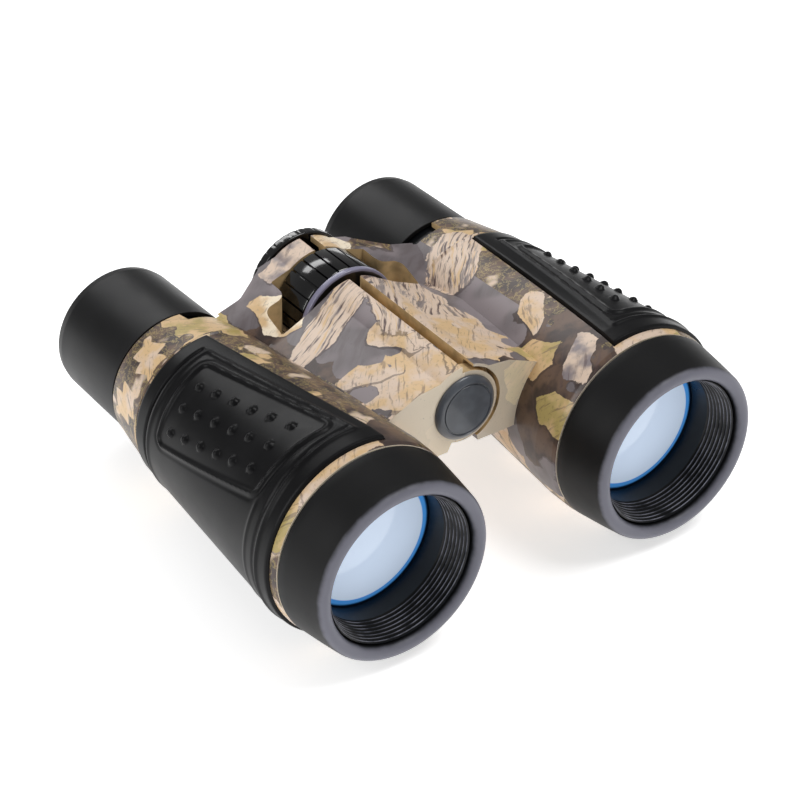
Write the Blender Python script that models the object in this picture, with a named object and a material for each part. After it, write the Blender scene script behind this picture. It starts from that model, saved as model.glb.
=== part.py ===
"""Compact Galilean binoculars with a centre hinge and a centre focus wheel.

Two camouflage barrels carry rubber grips, objective hoods and sliding eyepieces. The barrels turn about one
hinge pin. The wheel on that pin drives a screw, and the screw carries both eyepieces along their barrels.

The outlines below are in millimetres. x runs to the right seen from the objectives, y runs back from the
objective rims, and z runs up from the plane of the two barrel axes.
"""
import math

import bmesh
import bpy
from mathutils import Vector

MM = 0.001
FULL_TURN = 2 * math.pi

# Whole instrument
BARREL_X = 30.0          # half the distance between the barrel axes
HINGE_Z = 9.1            # hinge axis above the barrel axes
LENGTH = 95.2            # objective rim to eyecup rim
GAP = 0.3                # clearance between neighbouring pieces
OVER = 1.0               # a cutter runs this far past what it cuts
TUCK = 0.1               # solids that are joined end this far inside each other

# Facets round a turn
WIDE_TURN = 40
SMALL_TURN = 24
PIN_TURN = 16

# Barrel shell: (y, r) along its outside and back along its bore, with the objective's seat in front
BODY_WIDE_Y = 17.0
BODY_WIDE_R = 19.0
BODY_NARROW_Y = 61.5
BODY_NARROW_R = 15.2
RIM_Y = 73.0
SHELL_BORE_R = 15.2
SHELL_OUTSIDE = (
    (2.6, SHELL_BORE_R), (2.6, 16.6), (11.4, 16.6), (11.4, 18.8), (12.4, BODY_WIDE_R),
    (BODY_WIDE_Y, BODY_WIDE_R), (BODY_NARROW_Y, BODY_NARROW_R), (BODY_NARROW_Y + 0.6, 15.6), (RIM_Y, 13.66),
)
SHELL_INSIDE = (
    (RIM_Y, 12.6), (60.0, 12.6), (57.0, 13.6), (18.4, 17.0), (18.4, 13.4), (16.4, 13.4), (16.4, SHELL_BORE_R),
)
# A leaf ends on this line, halfway through the shell's wall.
BEHIND_Y = 80.0          # behind both leaves
LEAF_END = ((20.0, 0.0), (20.0, 17.8), (57.0, 14.6), (62.0, 13.9), (BEHIND_Y, 13.1), (BEHIND_Y, 0.0))
NOTCH_Y = 69.7           # the rim is cut back to here where the eyepiece arm enters
NOTCH_RADII = (11.0, 14.8)
NOTCH_ANGLES = (-30.0, 85.0)
NOTCH_STEPS = 12

# Grip, an outer half sleeve
GRIP_FRONT_Y = 13.3
GRIP_RISE = 0.7
GRIP_RIDGE_RISE = 1.05
GRIP_RIDGE_Y = (16.0, 16.4, 17.2, 17.6)
GRIP_RECESS = 0.7
GRIP_EDGE_FRONT = 75.0   # the grip's long edges run between these angles from the hinge side
GRIP_EDGE_REAR = 90.0
GRIP_STEPS = 20

# Objective end
HOOD_REAR_Y = 11.1
HOOD_REAR_R = 18.85
HOOD_LIP_INNER_R = 14.85
HOOD_LIP_OUTER_R = 17.6
HOOD_BORE_R = 16.9
HOOD_LIP_REAR_Y = 2.3
HOOD_CHAMFER = 0.4
BAFFLE_FRONT_Y = 1.5
BAFFLE_REAR_Y = 11.4
BAFFLE_MOUTH_R = 14.3
BAFFLE_THROAT_R = 13.2
BAFFLE_THROAT_Y = 6.2
LENS_R = 14.9
LENS_APEX_Y = 10.4
LENS_EDGE_Y = (12.2, 15.9)
LENS_BACK_Y = 16.7

# Eyepiece
TUBE_R = 12.2
TUBE_BORE_R = 10.8
TUBE_STOP_R = 7.4        # the wall in front of the eye lens
TUBE_STOP_Y = 77.0
TUBE_FRONT_Y = 58.0
TUBE_REAR_Y = 88.3
CUP_FRONT_Y = 73.6
CUP_FRONT_R = 13.35
CUP_OUTER_END = (92.6, 13.05)
CUP_RIM = ((94.2, 12.75), (94.95, 12.2), (LENGTH, 11.6), (94.9, 11.1))
CUP_SEAT = (88.7, 10.4)
EYE_LENS_R = 8.7
EYE_LENS_Y = (81.3, 84.7)
EYE_LENS_HOLLOW = (0.9, 1.0)   # depth of the curves in its front and rear faces
EYE_LENS_CURVE_R = 4.5   # each curve has a point at this radius
EYE_RING_Y = (85.3, 88.2)
EYE_RING_RADII = (6.8, 9.6, 10.5)
EYE_RING_THROAT = 0.8    # length of its straight throat

# Eyepiece arm, from the tube past the eyecup to the focus screw
ARM_INNER_R = 11.6
ARM_LIMIT_R = 13.9       # the arm stays outside this radius of the eyecup
ARM_OUTER_R = 16.2
ARM_WEB_Y = (71.0, 73.2)
ARM_ANGLES = (2.0, 32.0)
ARM_ROOM_ANGLES = (-20.0, 45.0)   # room in the leaf, so that the arm stays clear of it
ARM_STEPS = 4
HUB_R = 6.0
HUB_ANGLES = (60.0, 300.0)
LEFT_PLATE_Y = (74.0, 75.1)
RIGHT_PLATE_Y = (72.6, 73.7)

# Hinge and leaves
LEAF_FRONT_Y = 24.4
LEAF_REAR_Y = 75.0
LEAF_STATIONS = (
    # y, hinge radius, valley (x, z), barrel side (x, z), end inside the shell (x, z)
    (LEAF_FRONT_Y, 8.6, (10.0, 15.3), (17.1, 12.2), (24.0, 9.0)),
    (38.0, 8.9, (9.9, 14.9), (18.0, 12.0), (24.0, 9.0)),
    (50.0, 9.1, (9.9, 14.5), (18.9, 11.6), (24.0, 8.8)),
    (59.0, 9.3, (9.8, 14.1), (17.8, 10.5), (24.0, 8.0)),
    (66.0, 9.8, (11.0, 15.0), (22.6, 12.1), (26.0, 9.0)),
    (LEAF_REAR_Y, 10.0, (11.0, 15.6), (23.5, 12.6), (26.0, 9.0)),
)
LEAF_ARC_END = 52.0      # angle where the arc over the hinge meets the valley
LEAF_BOTTOM_Z = 0.5
LEAF_BOTTOM_X = 3.4      # the underside stays this far off the middle, so that the halves can fold down
SLOT_DEPTH = 3.0         # the upright slot walls end this far below the hinge axis
LEFT_SLOT_X = 0.5
RIGHT_SLOT_X = 1.9
BOSS_R = 7.3
BOSS_Y = (24.4, 26.9)
BOSS_CLEAR_R = 8.0
KNUCKLE_R = 5.6
KNUCKLE_CLEAR_R = 6.0
LEFT_KNUCKLES = ((33.6, 44.9), (70.1, 70.9))
RIGHT_KNUCKLES = ((27.3, 33.1), (45.4, 57.9), (71.4, 72.2))
PIN_BORE_R = 3.9
PIN_R = 3.6
PIN_HOLE_R = 2.5
PIN_Y = (24.8, 72.3)
PIN_ROOM_Y = (23.4, 76.0)
WINDOW_Y = (58.8, 70.0)
WINDOW_X = 15.5
WINDOW_SIDE_Y = 65.0     # beside the wheel the window ends here
WINDOW_WAIST_X = 10.5    # further back it is only as wide as the wheel
WINDOW_CORNER = 1.4
POCKET_X = (9.2, 15.2)   # the underside pocket's walls and the heights of its sloping roof
POCKET_ROOF_Z = (12.2, 10.2)
POCKET_Y = (27.2, 54.0)
COVER_Y = (72.3, 76.0)   # behind the rear wall the leaf is only a cover over the eyepiece arms
COVER_R = 8.7
COVER_ROOF = ((7.0, 13.0), (10.0, 13.2), (20.0, 10.9), (27.0, 9.0))
REAR_SLANT = ((9.5, 75.1), (17.0, 70.6), (30.0, 69.9))
BELOW_Z = -2.0           # heights that are clear of the leaves
ABOVE_Z = 22.0

# Focus gear
WASHER_Y = (58.3, 59.3)
WASHER_R = 6.4
WASHER_ROOM_Y = (58.05, 59.6)
WASHER_ROOM_R = 6.8
COLLAR_Y = (59.6, 60.8)
COLLAR_R = 10.3
WHEEL_Y = (61.1, 69.7)
WHEEL_R = 10.0
WHEEL_GROOVE_R = 9.3
WHEEL_TEETH = 24
WHEEL_TOOTH = ((-0.40, WHEEL_R), (0.20, WHEEL_R), (0.27, WHEEL_GROOVE_R), (0.53, WHEEL_GROOVE_R))
DISC_Y = (75.4, 77.5)
DISC_R = 10.5
SCREW_Y = (44.0, 77.5)
SCREW_R = 2.1
SCREW_BORE_R = 2.45
NUT_Y = (77.8, 79.2)
NUT_R = 4.0
CAP_Y = (22.9, 24.1)
CAP_R = 6.46
CAP_FACE_R = 5.3
CAP_CHAMFER = 0.8
CAP_STUB_Y = 30.0

AXIS_HEIGHT = BODY_WIDE_R + GRIP_RIDGE_RISE
FRAME = Vector((0.0, -LENGTH / 2, AXIS_HEIGHT))

MATERIALS = {
    "camo_plastic": ((0.62, 0.50, 0.38, 1), 0.45, 0.0),
    "grip_rubber": ((0.030, 0.030, 0.032, 1), 0.55, 0.0),
    "hood_rubber": ((0.025, 0.025, 0.028, 1), 0.50, 0.0),
    "black_plastic": ((0.018, 0.018, 0.020, 1), 0.35, 0.0),
    "gloss_black": ((0.012, 0.012, 0.014, 1), 0.15, 0.0),
    "collar_grey": ((0.22, 0.21, 0.27, 1), 0.35, 0.2),
    "cap_grey": ((0.12, 0.13, 0.15, 1), 0.30, 0.3),
    "coated_glass": ((0.55, 0.68, 0.85, 1), 0.05, 0.0),
    "steel": ((0.60, 0.60, 0.62, 1), 0.30, 1.0),
}


def make_material(name):
    """One Principled material of the table, made once."""
    found = bpy.data.materials.get(name)
    if found:
        return found
    colour, roughness, metallic = MATERIALS[name]
    material = bpy.data.materials.new(name)
    material.use_nodes = True
    shader = material.node_tree.nodes["Principled BSDF"]
    shader.inputs["Base Color"].default_value = colour
    shader.inputs["Roughness"].default_value = roughness
    shader.inputs["Metallic"].default_value = metallic
    return material


def make_body(name, origin, parent=None):
    """An empty on a body's joint axis, at a point given in millimetres of the outline frame."""
    body = bpy.data.objects.new(name, None)
    bpy.context.scene.collection.objects.link(body)
    place = (Vector(origin) + FRAME) * MM
    if parent:
        place = place - parent["place"]
    body.location = place
    record = {"empty": body, "origin": Vector(origin), "place": (Vector(origin) + FRAME) * MM}
    if parent:
        body.parent = parent["empty"]
    return record


def finish_mesh(bm, name, body, material=None):
    """Turns a bmesh in millimetres into an object of a body. Without a material it is a cutter."""
    bmesh.ops.remove_doubles(bm, verts=bm.verts, dist=1e-5)
    bmesh.ops.recalc_face_normals(bm, faces=bm.faces)
    bmesh.ops.translate(bm, verts=bm.verts, vec=-body["origin"])
    bmesh.ops.scale(bm, verts=bm.verts, vec=(MM, MM, MM))
    mesh = bpy.data.meshes.new(name)
    bm.to_mesh(mesh)
    bm.free()
    mesh.shade_smooth()
    mesh.set_sharp_from_angle(angle=math.radians(32))
    piece = bpy.data.objects.new(name, mesh)
    bpy.context.scene.collection.objects.link(piece)
    piece.parent = body["empty"]
    if material:
        mesh.materials.append(make_material(material))
    else:
        piece.hide_render = True
        piece.display_type = "WIRE"
    return piece


def turned(profile, centre, turn):
    """A bmesh turned about the y direction through centre (x, z). The profile is a closed loop of (y, r)."""
    bm = bmesh.new()
    x, z = centre
    points = [bm.verts.new((x + r, y, z)) for y, r in profile]
    open_ends = profile[0][1] == 0 and profile[-1][1] == 0
    edges = [bm.edges.new(pair) for pair in zip(points, points[1:])]
    if not open_ends:
        edges.append(bm.edges.new((points[-1], points[0])))
    bmesh.ops.spin(
        bm, geom=points + edges, cent=(x, 0, z), axis=(0, 1, 0), angle=FULL_TURN, steps=turn, use_merge=True
    )
    return bm


def lofted(sections):
    """A closed bmesh through sections (y, [(x, z), ...]) that all have the same number of points."""
    bm = bmesh.new()
    rings = []
    for y, outline in sections:
        rings.append([bm.verts.new((x, y, z)) for x, z in outline])
    for near, far in zip(rings, rings[1:]):
        for i in range(len(near)):
            j = (i + 1) % len(near)
            bm.faces.new((near[i], near[j], far[j], far[i]))
    bm.faces.new(rings[0][::-1])
    bm.faces.new(rings[-1])
    return bm


def prism(outline, y_range):
    return lofted([(y, outline) for y in y_range])


def plan_prism(outline, z_range):
    """A closed bmesh from an outline (x, y) in plan, between two heights."""
    bm = bmesh.new()
    low, high = z_range
    base = bm.faces.new([bm.verts.new((x, y, low)) for x, y in outline])
    grown = bmesh.ops.extrude_face_region(bm, geom=[base])
    moved = [v for v in grown["geom"] if isinstance(v, bmesh.types.BMVert)]
    bmesh.ops.translate(bm, verts=moved, vec=(0, 0, high - low))
    return bm


def ring(y_range, r_inner, r_outer):
    """The profile of a plain ring or, with no inner radius, of a disc."""
    front, rear = y_range
    if r_inner == 0:
        return [(front, 0), (front, r_outer), (rear, r_outer), (rear, 0)]
    return [(front, r_inner), (front, r_outer), (rear, r_outer), (rear, r_inner)]


def arc(centre, radius, start, end, steps):
    """Points on an arc, angles in degrees."""
    cx, cz = centre
    points = []
    for i in range(steps + 1):
        angle = math.radians(start + (end - start) * i / steps)
        points.append((cx + radius * math.cos(angle), cz + radius * math.sin(angle)))
    return points


def barrel_point(side, radius, angle):
    """(x, z) at an angle in degrees round a barrel axis, measured from the hinge side over the top."""
    a = math.radians(angle)
    return side * (BARREL_X - radius * math.cos(a)), radius * math.sin(a)


def sector(side, radii, angles, y_range, steps):
    """A bmesh of part of a ring round a barrel axis."""
    inner, outer = radii
    start, end = angles
    stops = [start + (end - start) * i / steps for i in range(steps + 1)]
    outline = [barrel_point(side, outer, a) for a in stops]
    outline += [barrel_point(side, inner, a) for a in reversed(stops)]
    return prism(outline, y_range)


def apply_tool(target, tool, operation, solver):
    modifier = target.modifiers.new(tool.name, "BOOLEAN")
    modifier.operation = operation
    modifier.solver = solver
    modifier.object = tool


def cut(target, bm, name, body, solver="EXACT"):
    apply_tool(target, finish_mesh(bm, name, body), "DIFFERENCE", solver)


def join(target, bm, name, body, solver="EXACT"):
    apply_tool(target, finish_mesh(bm, name, body), "UNION", solver)


def body_radius(y):
    """The shell's outer radius between its widest and its narrow end."""
    share = (y - BODY_WIDE_Y) / (BODY_NARROW_Y - BODY_WIDE_Y)
    return BODY_WIDE_R + (BODY_NARROW_R - BODY_WIDE_R) * max(share, 0.0)


def grip_edge(y):
    """Angle of the grip's upper long edge. The lower edge mirrors it."""
    share = (y - GRIP_FRONT_Y) / (BODY_NARROW_Y - GRIP_FRONT_Y)
    return GRIP_EDGE_FRONT + (GRIP_EDGE_REAR - GRIP_EDGE_FRONT) * share


def grip_sleeve(side, stations, margin):
    """The grip's half sleeve. stations are (y, inner r, outer r), margin widens it at its long edges."""
    sections = []
    for y, inner, outer in stations:
        spare = math.degrees(margin / outer)
        start = grip_edge(y) - spare
        end = 360 - grip_edge(y) + spare
        stops = [start + (end - start) * i / GRIP_STEPS for i in range(GRIP_STEPS + 1)]
        outline = [barrel_point(side, outer, a) for a in stops]
        outline += [barrel_point(side, inner, a) for a in reversed(stops)]
        sections.append((y, outline))
    return lofted(sections)


def grip_stations():
    """Grip stations with the raised ring near its front edge."""
    low_front, top_front, top_rear, low_rear = GRIP_RIDGE_Y
    rises = [(GRIP_FRONT_Y, GRIP_RISE), (low_front, GRIP_RISE), (top_front, GRIP_RIDGE_RISE),
             (top_rear, GRIP_RIDGE_RISE), (low_rear, GRIP_RISE), (BODY_NARROW_Y, GRIP_RISE)]
    floor = GRIP_RECESS - GAP
    return [(y, body_radius(y) - floor, body_radius(y) + rise) for y, rise in rises]


def recess_stations():
    """The sleeve that is cut out of the shell under the grip."""
    over = 3.0
    ends = (GRIP_FRONT_Y - GAP, BODY_WIDE_Y, BODY_NARROW_Y + GAP)
    return [(y, body_radius(y) - GRIP_RECESS, body_radius(y) + over) for y in ends]


def hinge_point(radius, angle):
    """(x, z) at an angle in degrees round the hinge axis."""
    a = math.radians(angle)
    return radius * math.cos(a), HINGE_Z + radius * math.sin(a)


def hinge_cylinder(y_range, radius, turn=SMALL_TURN):
    return turned(ring(y_range, 0, radius), (0, HINGE_Z), turn)


def mirrored(side, outline):
    return [(side * x, other) for x, other in outline]


def leaf_sections(side, slot_x):
    """Cross-sections of a hinge leaf: slot wall, arc over the hinge, valley, barrel side and flat bottom."""
    sections = []
    for y, radius, valley, flank, end in LEAF_STATIONS:
        start = math.degrees(math.acos(slot_x / radius))
        outline = [(LEAF_BOTTOM_X, LEAF_BOTTOM_Z), (slot_x, HINGE_Z - SLOT_DEPTH)]
        outline += arc((0, HINGE_Z), radius, start, LEAF_ARC_END, 4)
        outline += [valley, flank, end, (end[0], LEAF_BOTTOM_Z)]
        sections.append((y, mirrored(side, outline)))
    return sections


def make_leaf(side, name, body):
    """One half of the hinge, as a solid that ends inside its barrel's wall."""
    slot_x = LEFT_SLOT_X if side < 0 else RIGHT_SLOT_X
    other_knuckles = RIGHT_KNUCKLES if side < 0 else LEFT_KNUCKLES
    leaf = finish_mesh(lofted(leaf_sections(side, slot_x)), name, body)

    # Rooms round the hinge, for the other half's knuckles, the left half's boss and the washer.
    rooms = [(front - GAP, rear + GAP, KNUCKLE_CLEAR_R) for front, rear in other_knuckles]
    rooms.append((*WASHER_ROOM_Y, WASHER_ROOM_R))
    if side > 0:
        rooms.append((BOSS_Y[0] - OVER, BOSS_Y[1] + GAP, BOSS_CLEAR_R))
    tools = [hinge_cylinder((front, rear), radius) for front, rear, radius in rooms]

    # The window for the focus wheel.
    front, rear = WINDOW_Y
    window = [(-OVER, front), (WINDOW_X, front), (WINDOW_X, WINDOW_SIDE_Y - WINDOW_CORNER),
              (WINDOW_X - WINDOW_CORNER, WINDOW_SIDE_Y), (WINDOW_WAIST_X + WINDOW_CORNER, WINDOW_SIDE_Y),
              (WINDOW_WAIST_X, WINDOW_SIDE_Y + WINDOW_CORNER), (WINDOW_WAIST_X, rear), (-OVER, rear)]
    tools.append(plan_prism(mirrored(side, window), (BELOW_Z, ABOVE_Z)))

    # The leaf is moulded hollow: a pocket under the front part, and only a cover behind the rear wall.
    near, far = POCKET_X
    roof_near, roof_far = POCKET_ROOF_Z
    pocket = [(near, BELOW_Z), (near, roof_near), (far, roof_far), (far, BELOW_Z)]
    tools.append(prism(mirrored(side, pocket), POCKET_Y))
    below_cover = [(-SLOT_DEPTH, BELOW_Z), (-SLOT_DEPTH, COVER_ROOF[0][1]), *COVER_ROOF,
                   (COVER_ROOF[-1][0], BELOW_Z)]
    tools.append(prism(mirrored(side, below_cover), COVER_Y))
    tools.append(hinge_cylinder(COVER_Y, COVER_R))

    # The rear edge slants from the hinge to the barrel.
    slant = [*REAR_SLANT, (REAR_SLANT[-1][0], BEHIND_Y), (REAR_SLANT[0][0], BEHIND_Y)]
    tools.append(plan_prism(mirrored(side, slant), (BELOW_Z, ABOVE_Z)))

    tools.append(turned(LEAF_END, (side * BARREL_X, 0), WIDE_TURN))
    arm_radii = (ARM_INNER_R, ARM_OUTER_R + 2 * GAP)
    tools.append(sector(side, arm_radii, ARM_ROOM_ANGLES, (ARM_WEB_Y[0] - 2 * GAP, BEHIND_Y), 2 * ARM_STEPS))
    for i, tool in enumerate(tools):
        cut(leaf, tool, f"{name}_room_{i}", body, "MANIFOLD")
    return leaf


def make_barrel(side, name, body):
    """Camouflage shell with its half of the hinge. Its walls meet at grazing angles, which need MANIFOLD."""
    knuckles = LEFT_KNUCKLES if side < 0 else RIGHT_KNUCKLES
    profile = SHELL_OUTSIDE + SHELL_INSIDE
    shell = finish_mesh(turned(profile, (side * BARREL_X, 0), WIDE_TURN), name, body, "camo_plastic")
    apply_tool(shell, make_leaf(side, name + "_leaf", body), "UNION", "MANIFOLD")
    if side < 0:
        join(shell, hinge_cylinder(BOSS_Y, BOSS_R), name + "_boss", body, "MANIFOLD")
    for i, y_range in enumerate(knuckles):
        join(shell, hinge_cylinder(y_range, KNUCKLE_R), f"{name}_knuckle_{i}", body, "MANIFOLD")
    cut(shell, hinge_cylinder(PIN_ROOM_Y, PIN_BORE_R, PIN_TURN), name + "_pin_bore", body, "MANIFOLD")
    notch = sector(side, NOTCH_RADII, NOTCH_ANGLES, (NOTCH_Y, RIM_Y + OVER), NOTCH_STEPS)
    cut(shell, notch, name + "_notch", body, "MANIFOLD")
    cut(shell, grip_sleeve(side, recess_stations(), GAP), name + "_grip_recess", body, "MANIFOLD")
    return shell


def make_grip(side, name, body):
    return finish_mesh(grip_sleeve(side, grip_stations(), 0.0), name, body, "grip_rubber")


def make_hood(side, name, body):
    """Rubber hood with a round front lip that folds over the end of the shell."""
    middle = (HOOD_LIP_INNER_R + HOOD_LIP_OUTER_R) / 2
    round_r = (HOOD_LIP_OUTER_R - HOOD_LIP_INNER_R) / 2
    lip = arc((round_r, middle), round_r, 270, 90, 6)
    profile = lip + [(HOOD_REAR_Y - HOOD_CHAMFER, HOOD_REAR_R),
                     (HOOD_REAR_Y, HOOD_REAR_R - HOOD_CHAMFER), (HOOD_REAR_Y, HOOD_BORE_R),
                     (HOOD_LIP_REAR_Y, HOOD_BORE_R), (HOOD_LIP_REAR_Y, HOOD_LIP_INNER_R)]
    return finish_mesh(turned(profile, (side * BARREL_X, 0), WIDE_TURN), name, body, "hood_rubber")


def make_baffle(side, name, body):
    """Ring that holds the objective lens and narrows towards it."""
    step_y = HOOD_LIP_REAR_Y + 2 * GAP
    front_r = HOOD_LIP_INNER_R - GAP
    rear_r = SHELL_BORE_R - GAP
    profile = [(BAFFLE_FRONT_Y, BAFFLE_MOUTH_R), (BAFFLE_FRONT_Y, front_r), (step_y, front_r),
               (step_y, rear_r), (BAFFLE_REAR_Y, rear_r), (BAFFLE_REAR_Y, BAFFLE_THROAT_R),
               (BAFFLE_THROAT_Y, BAFFLE_THROAT_R)]
    return finish_mesh(turned(profile, (side * BARREL_X, 0), SMALL_TURN), name, body, "black_plastic")


def make_objective_lens(side, name, body):
    """Biconvex objective."""
    edge_front, edge_rear = LENS_EDGE_Y
    profile = [(LENS_APEX_Y, 0)]
    for share in (0.4, 0.7, 1.0):
        profile.append((LENS_APEX_Y + (edge_front - LENS_APEX_Y) * share ** 2, LENS_R * share))
    for share in (1.0, 0.6):
        profile.append((LENS_BACK_Y + (edge_rear - LENS_BACK_Y) * share ** 2, LENS_R * share))
    profile.append((LENS_BACK_Y, 0))
    return finish_mesh(turned(profile, (side * BARREL_X, 0), SMALL_TURN), name, body, "coated_glass")


def make_eyepiece_tube(side, name, body):
    """Sliding tube with the arm that joins it to the focus screw."""
    front, rear = EYE_LENS_Y
    seat_r = EYE_LENS_R + GAP
    outside = [(TUBE_FRONT_Y, TUBE_BORE_R), (TUBE_FRONT_Y, TUBE_R), (TUBE_REAR_Y, TUBE_R)]
    lens_seat = [(TUBE_REAR_Y, TUBE_BORE_R), (rear + GAP, TUBE_BORE_R), (rear + GAP, seat_r)]
    stop = [(front - GAP, seat_r), (front - GAP, TUBE_STOP_R), (TUBE_STOP_Y, TUBE_STOP_R)]
    profile = outside + lens_seat + stop + [(TUBE_STOP_Y, TUBE_BORE_R)]
    tube = finish_mesh(turned(profile, (side * BARREL_X, 0), WIDE_TURN), name, body, "black_plastic")
    plate_y = LEFT_PLATE_Y if side < 0 else RIGHT_PLATE_Y
    web = sector(side, (ARM_INNER_R, ARM_OUTER_R), ARM_ANGLES, ARM_WEB_Y, ARM_STEPS)
    join(tube, web, name + "_web", body, "MANIFOLD")
    block_y = (ARM_WEB_Y[0] + TUCK, plate_y[1] - TUCK)
    block = sector(side, (ARM_LIMIT_R, ARM_OUTER_R - TUCK), ARM_ANGLES, block_y, ARM_STEPS)
    join(tube, block, name + "_block", body, "MANIFOLD")
    low, high = ARM_ANGLES
    stops = [low + (high - low) * i / ARM_STEPS for i in range(ARM_STEPS + 1)]
    plate = [barrel_point(side, ARM_LIMIT_R + GAP, a) for a in stops]
    plate += mirrored(side, arc((0, HINGE_Z), HUB_R, *HUB_ANGLES, 16))
    join(tube, prism(plate, plate_y), name + "_plate", body, "MANIFOLD")
    through = (plate_y[0] - OVER, plate_y[1] + OVER)
    cut(tube, hinge_cylinder(through, SCREW_BORE_R, PIN_TURN), name + "_hub_bore", body, "MANIFOLD")
    return tube


def make_eyecup(side, name, body):
    """Rubber cup over the tube, with a rounded rear rim and a shallow funnel."""
    seat_y, seat_r = CUP_SEAT
    bore_r = TUBE_R + GAP
    profile = [(CUP_FRONT_Y, bore_r), (CUP_FRONT_Y, CUP_FRONT_R), CUP_OUTER_END, *CUP_RIM, (seat_y, seat_r),
               (seat_y, bore_r)]
    return finish_mesh(turned(profile, (side * BARREL_X, 0), WIDE_TURN), name, body, "hood_rubber")


def make_eye_lens(side, name, body):
    """Biconcave eye lens."""
    front, rear = EYE_LENS_Y
    front_depth, rear_depth = EYE_LENS_HOLLOW
    share = 1 - (EYE_LENS_CURVE_R / EYE_LENS_R) ** 2
    front_face = [(front + front_depth, 0), (front + front_depth * share, EYE_LENS_CURVE_R)]
    front_face.append((front, EYE_LENS_R))
    rear_face = [(rear, EYE_LENS_R), (rear - rear_depth * share, EYE_LENS_CURVE_R), (rear - rear_depth, 0)]
    profile = front_face + rear_face
    return finish_mesh(turned(profile, (side * BARREL_X, 0), SMALL_TURN), name, body, "coated_glass")


def make_eye_ring(side, name, body):
    """Ring that holds the eye lens, a funnel inside the eyecup."""
    front, rear = EYE_RING_Y
    throat, mouth, outside = EYE_RING_RADII
    profile = [(front, throat), (front, outside), (rear, outside), (rear, mouth),
               (front + EYE_RING_THROAT, throat)]
    return finish_mesh(turned(profile, (side * BARREL_X, 0), SMALL_TURN), name, body, "black_plastic")


def make_wheel(name, body):
    """Focus wheel with straight ridges."""
    pitch = 360 / WHEEL_TEETH
    outline = []
    for i in range(WHEEL_TEETH):
        outline += [hinge_point(radius, (i + share) * pitch) for share, radius in WHEEL_TOOTH]
    wheel = finish_mesh(prism(outline, WHEEL_Y), name, body, "gloss_black")
    through = (WHEEL_Y[0] - OVER, WHEEL_Y[1] + OVER)
    cut(wheel, hinge_cylinder(through, PIN_BORE_R, PIN_TURN), name + "_bore", body)
    return wheel


def make_hinge_ring(name, body, y_range, radii, material, turn=SMALL_TURN):
    inner, outer = radii
    bm = turned(ring(y_range, inner, outer), (0, HINGE_Z), turn)
    return finish_mesh(bm, name, body, material)


def make_cap(name, body):
    """Cap on the front end of the hinge pin: a chamfered disc on a short stub."""
    front, rear = CAP_Y
    stub_r = PIN_HOLE_R - GAP
    profile = [(front, 0), (front, CAP_FACE_R), (front + CAP_CHAMFER, CAP_R), (rear, CAP_R), (rear, stub_r),
               (CAP_STUB_Y, stub_r), (CAP_STUB_Y, 0)]
    return finish_mesh(turned(profile, (0, HINGE_Z), SMALL_TURN), name, body, "cap_grey")


def build():
    for old in list(bpy.data.objects):
        bpy.data.objects.remove(old, do_unlink=True)

    left = make_body("left_half", (-BARREL_X, 0, 0))
    right = make_body("right_half", (0, 0, HINGE_Z), left)
    wheel = make_body("focus_gear", (0, 0, HINGE_Z), left)
    left_eyepiece = make_body("left_eyepiece", (-BARREL_X, TUBE_FRONT_Y, 0), left)
    right_eyepiece = make_body("right_eyepiece", (BARREL_X, TUBE_FRONT_Y, 0), right)

    halves = (("left", -1, left, left_eyepiece), ("right", 1, right, right_eyepiece))
    for word, side, half, eyepiece in halves:
        make_barrel(side, word + "_barrel", half)
        make_grip(side, word + "_grip", half)
        make_hood(side, word + "_objective_hood", half)
        make_baffle(side, word + "_baffle_ring", half)
        make_objective_lens(side, word + "_objective_lens", half)
        make_eyepiece_tube(side, word + "_eyepiece_tube", eyepiece)
        make_eyecup(side, word + "_eyecup", eyepiece)
        make_eye_lens(side, word + "_eye_lens", eyepiece)
        make_eye_ring(side, word + "_eye_lens_ring", eyepiece)

    make_hinge_ring("hinge_pin", left, PIN_Y, (PIN_HOLE_R, PIN_R), "steel", PIN_TURN)
    make_cap("hinge_cap", left)
    make_hinge_ring("friction_washer", left, WASHER_Y, (PIN_BORE_R, WASHER_R), "steel")
    make_wheel("focus_wheel", wheel)
    make_hinge_ring("wheel_collar", wheel, COLLAR_Y, (PIN_BORE_R, COLLAR_R), "collar_grey")
    make_hinge_ring("focus_screw", left_eyepiece, SCREW_Y, (0, SCREW_R), "steel", PIN_TURN)
    make_hinge_ring("bridge_disc", left_eyepiece, DISC_Y, (SCREW_BORE_R, DISC_R), "gloss_black")
    make_hinge_ring("bridge_nut", left_eyepiece, NUT_Y, (0, NUT_R), "steel")


build()
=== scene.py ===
import math

import bmesh
import bpy
import numpy as np
from mathutils import Matrix, Vector


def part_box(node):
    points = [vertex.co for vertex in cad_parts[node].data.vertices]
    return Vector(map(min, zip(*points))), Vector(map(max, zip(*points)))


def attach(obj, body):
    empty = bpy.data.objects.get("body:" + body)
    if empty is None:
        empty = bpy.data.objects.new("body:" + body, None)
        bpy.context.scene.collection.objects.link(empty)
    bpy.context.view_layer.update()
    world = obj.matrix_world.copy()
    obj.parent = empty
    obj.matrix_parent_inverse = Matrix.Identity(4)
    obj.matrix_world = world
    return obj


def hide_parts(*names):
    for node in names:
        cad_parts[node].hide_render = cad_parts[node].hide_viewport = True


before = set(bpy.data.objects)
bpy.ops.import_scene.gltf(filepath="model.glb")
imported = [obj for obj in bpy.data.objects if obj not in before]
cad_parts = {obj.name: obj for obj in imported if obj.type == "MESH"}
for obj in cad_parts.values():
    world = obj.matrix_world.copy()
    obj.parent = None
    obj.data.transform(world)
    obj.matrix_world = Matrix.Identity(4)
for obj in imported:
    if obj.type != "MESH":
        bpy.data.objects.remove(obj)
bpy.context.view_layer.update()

MM = 0.001
FULL_TURN = 2 * math.pi


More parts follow.
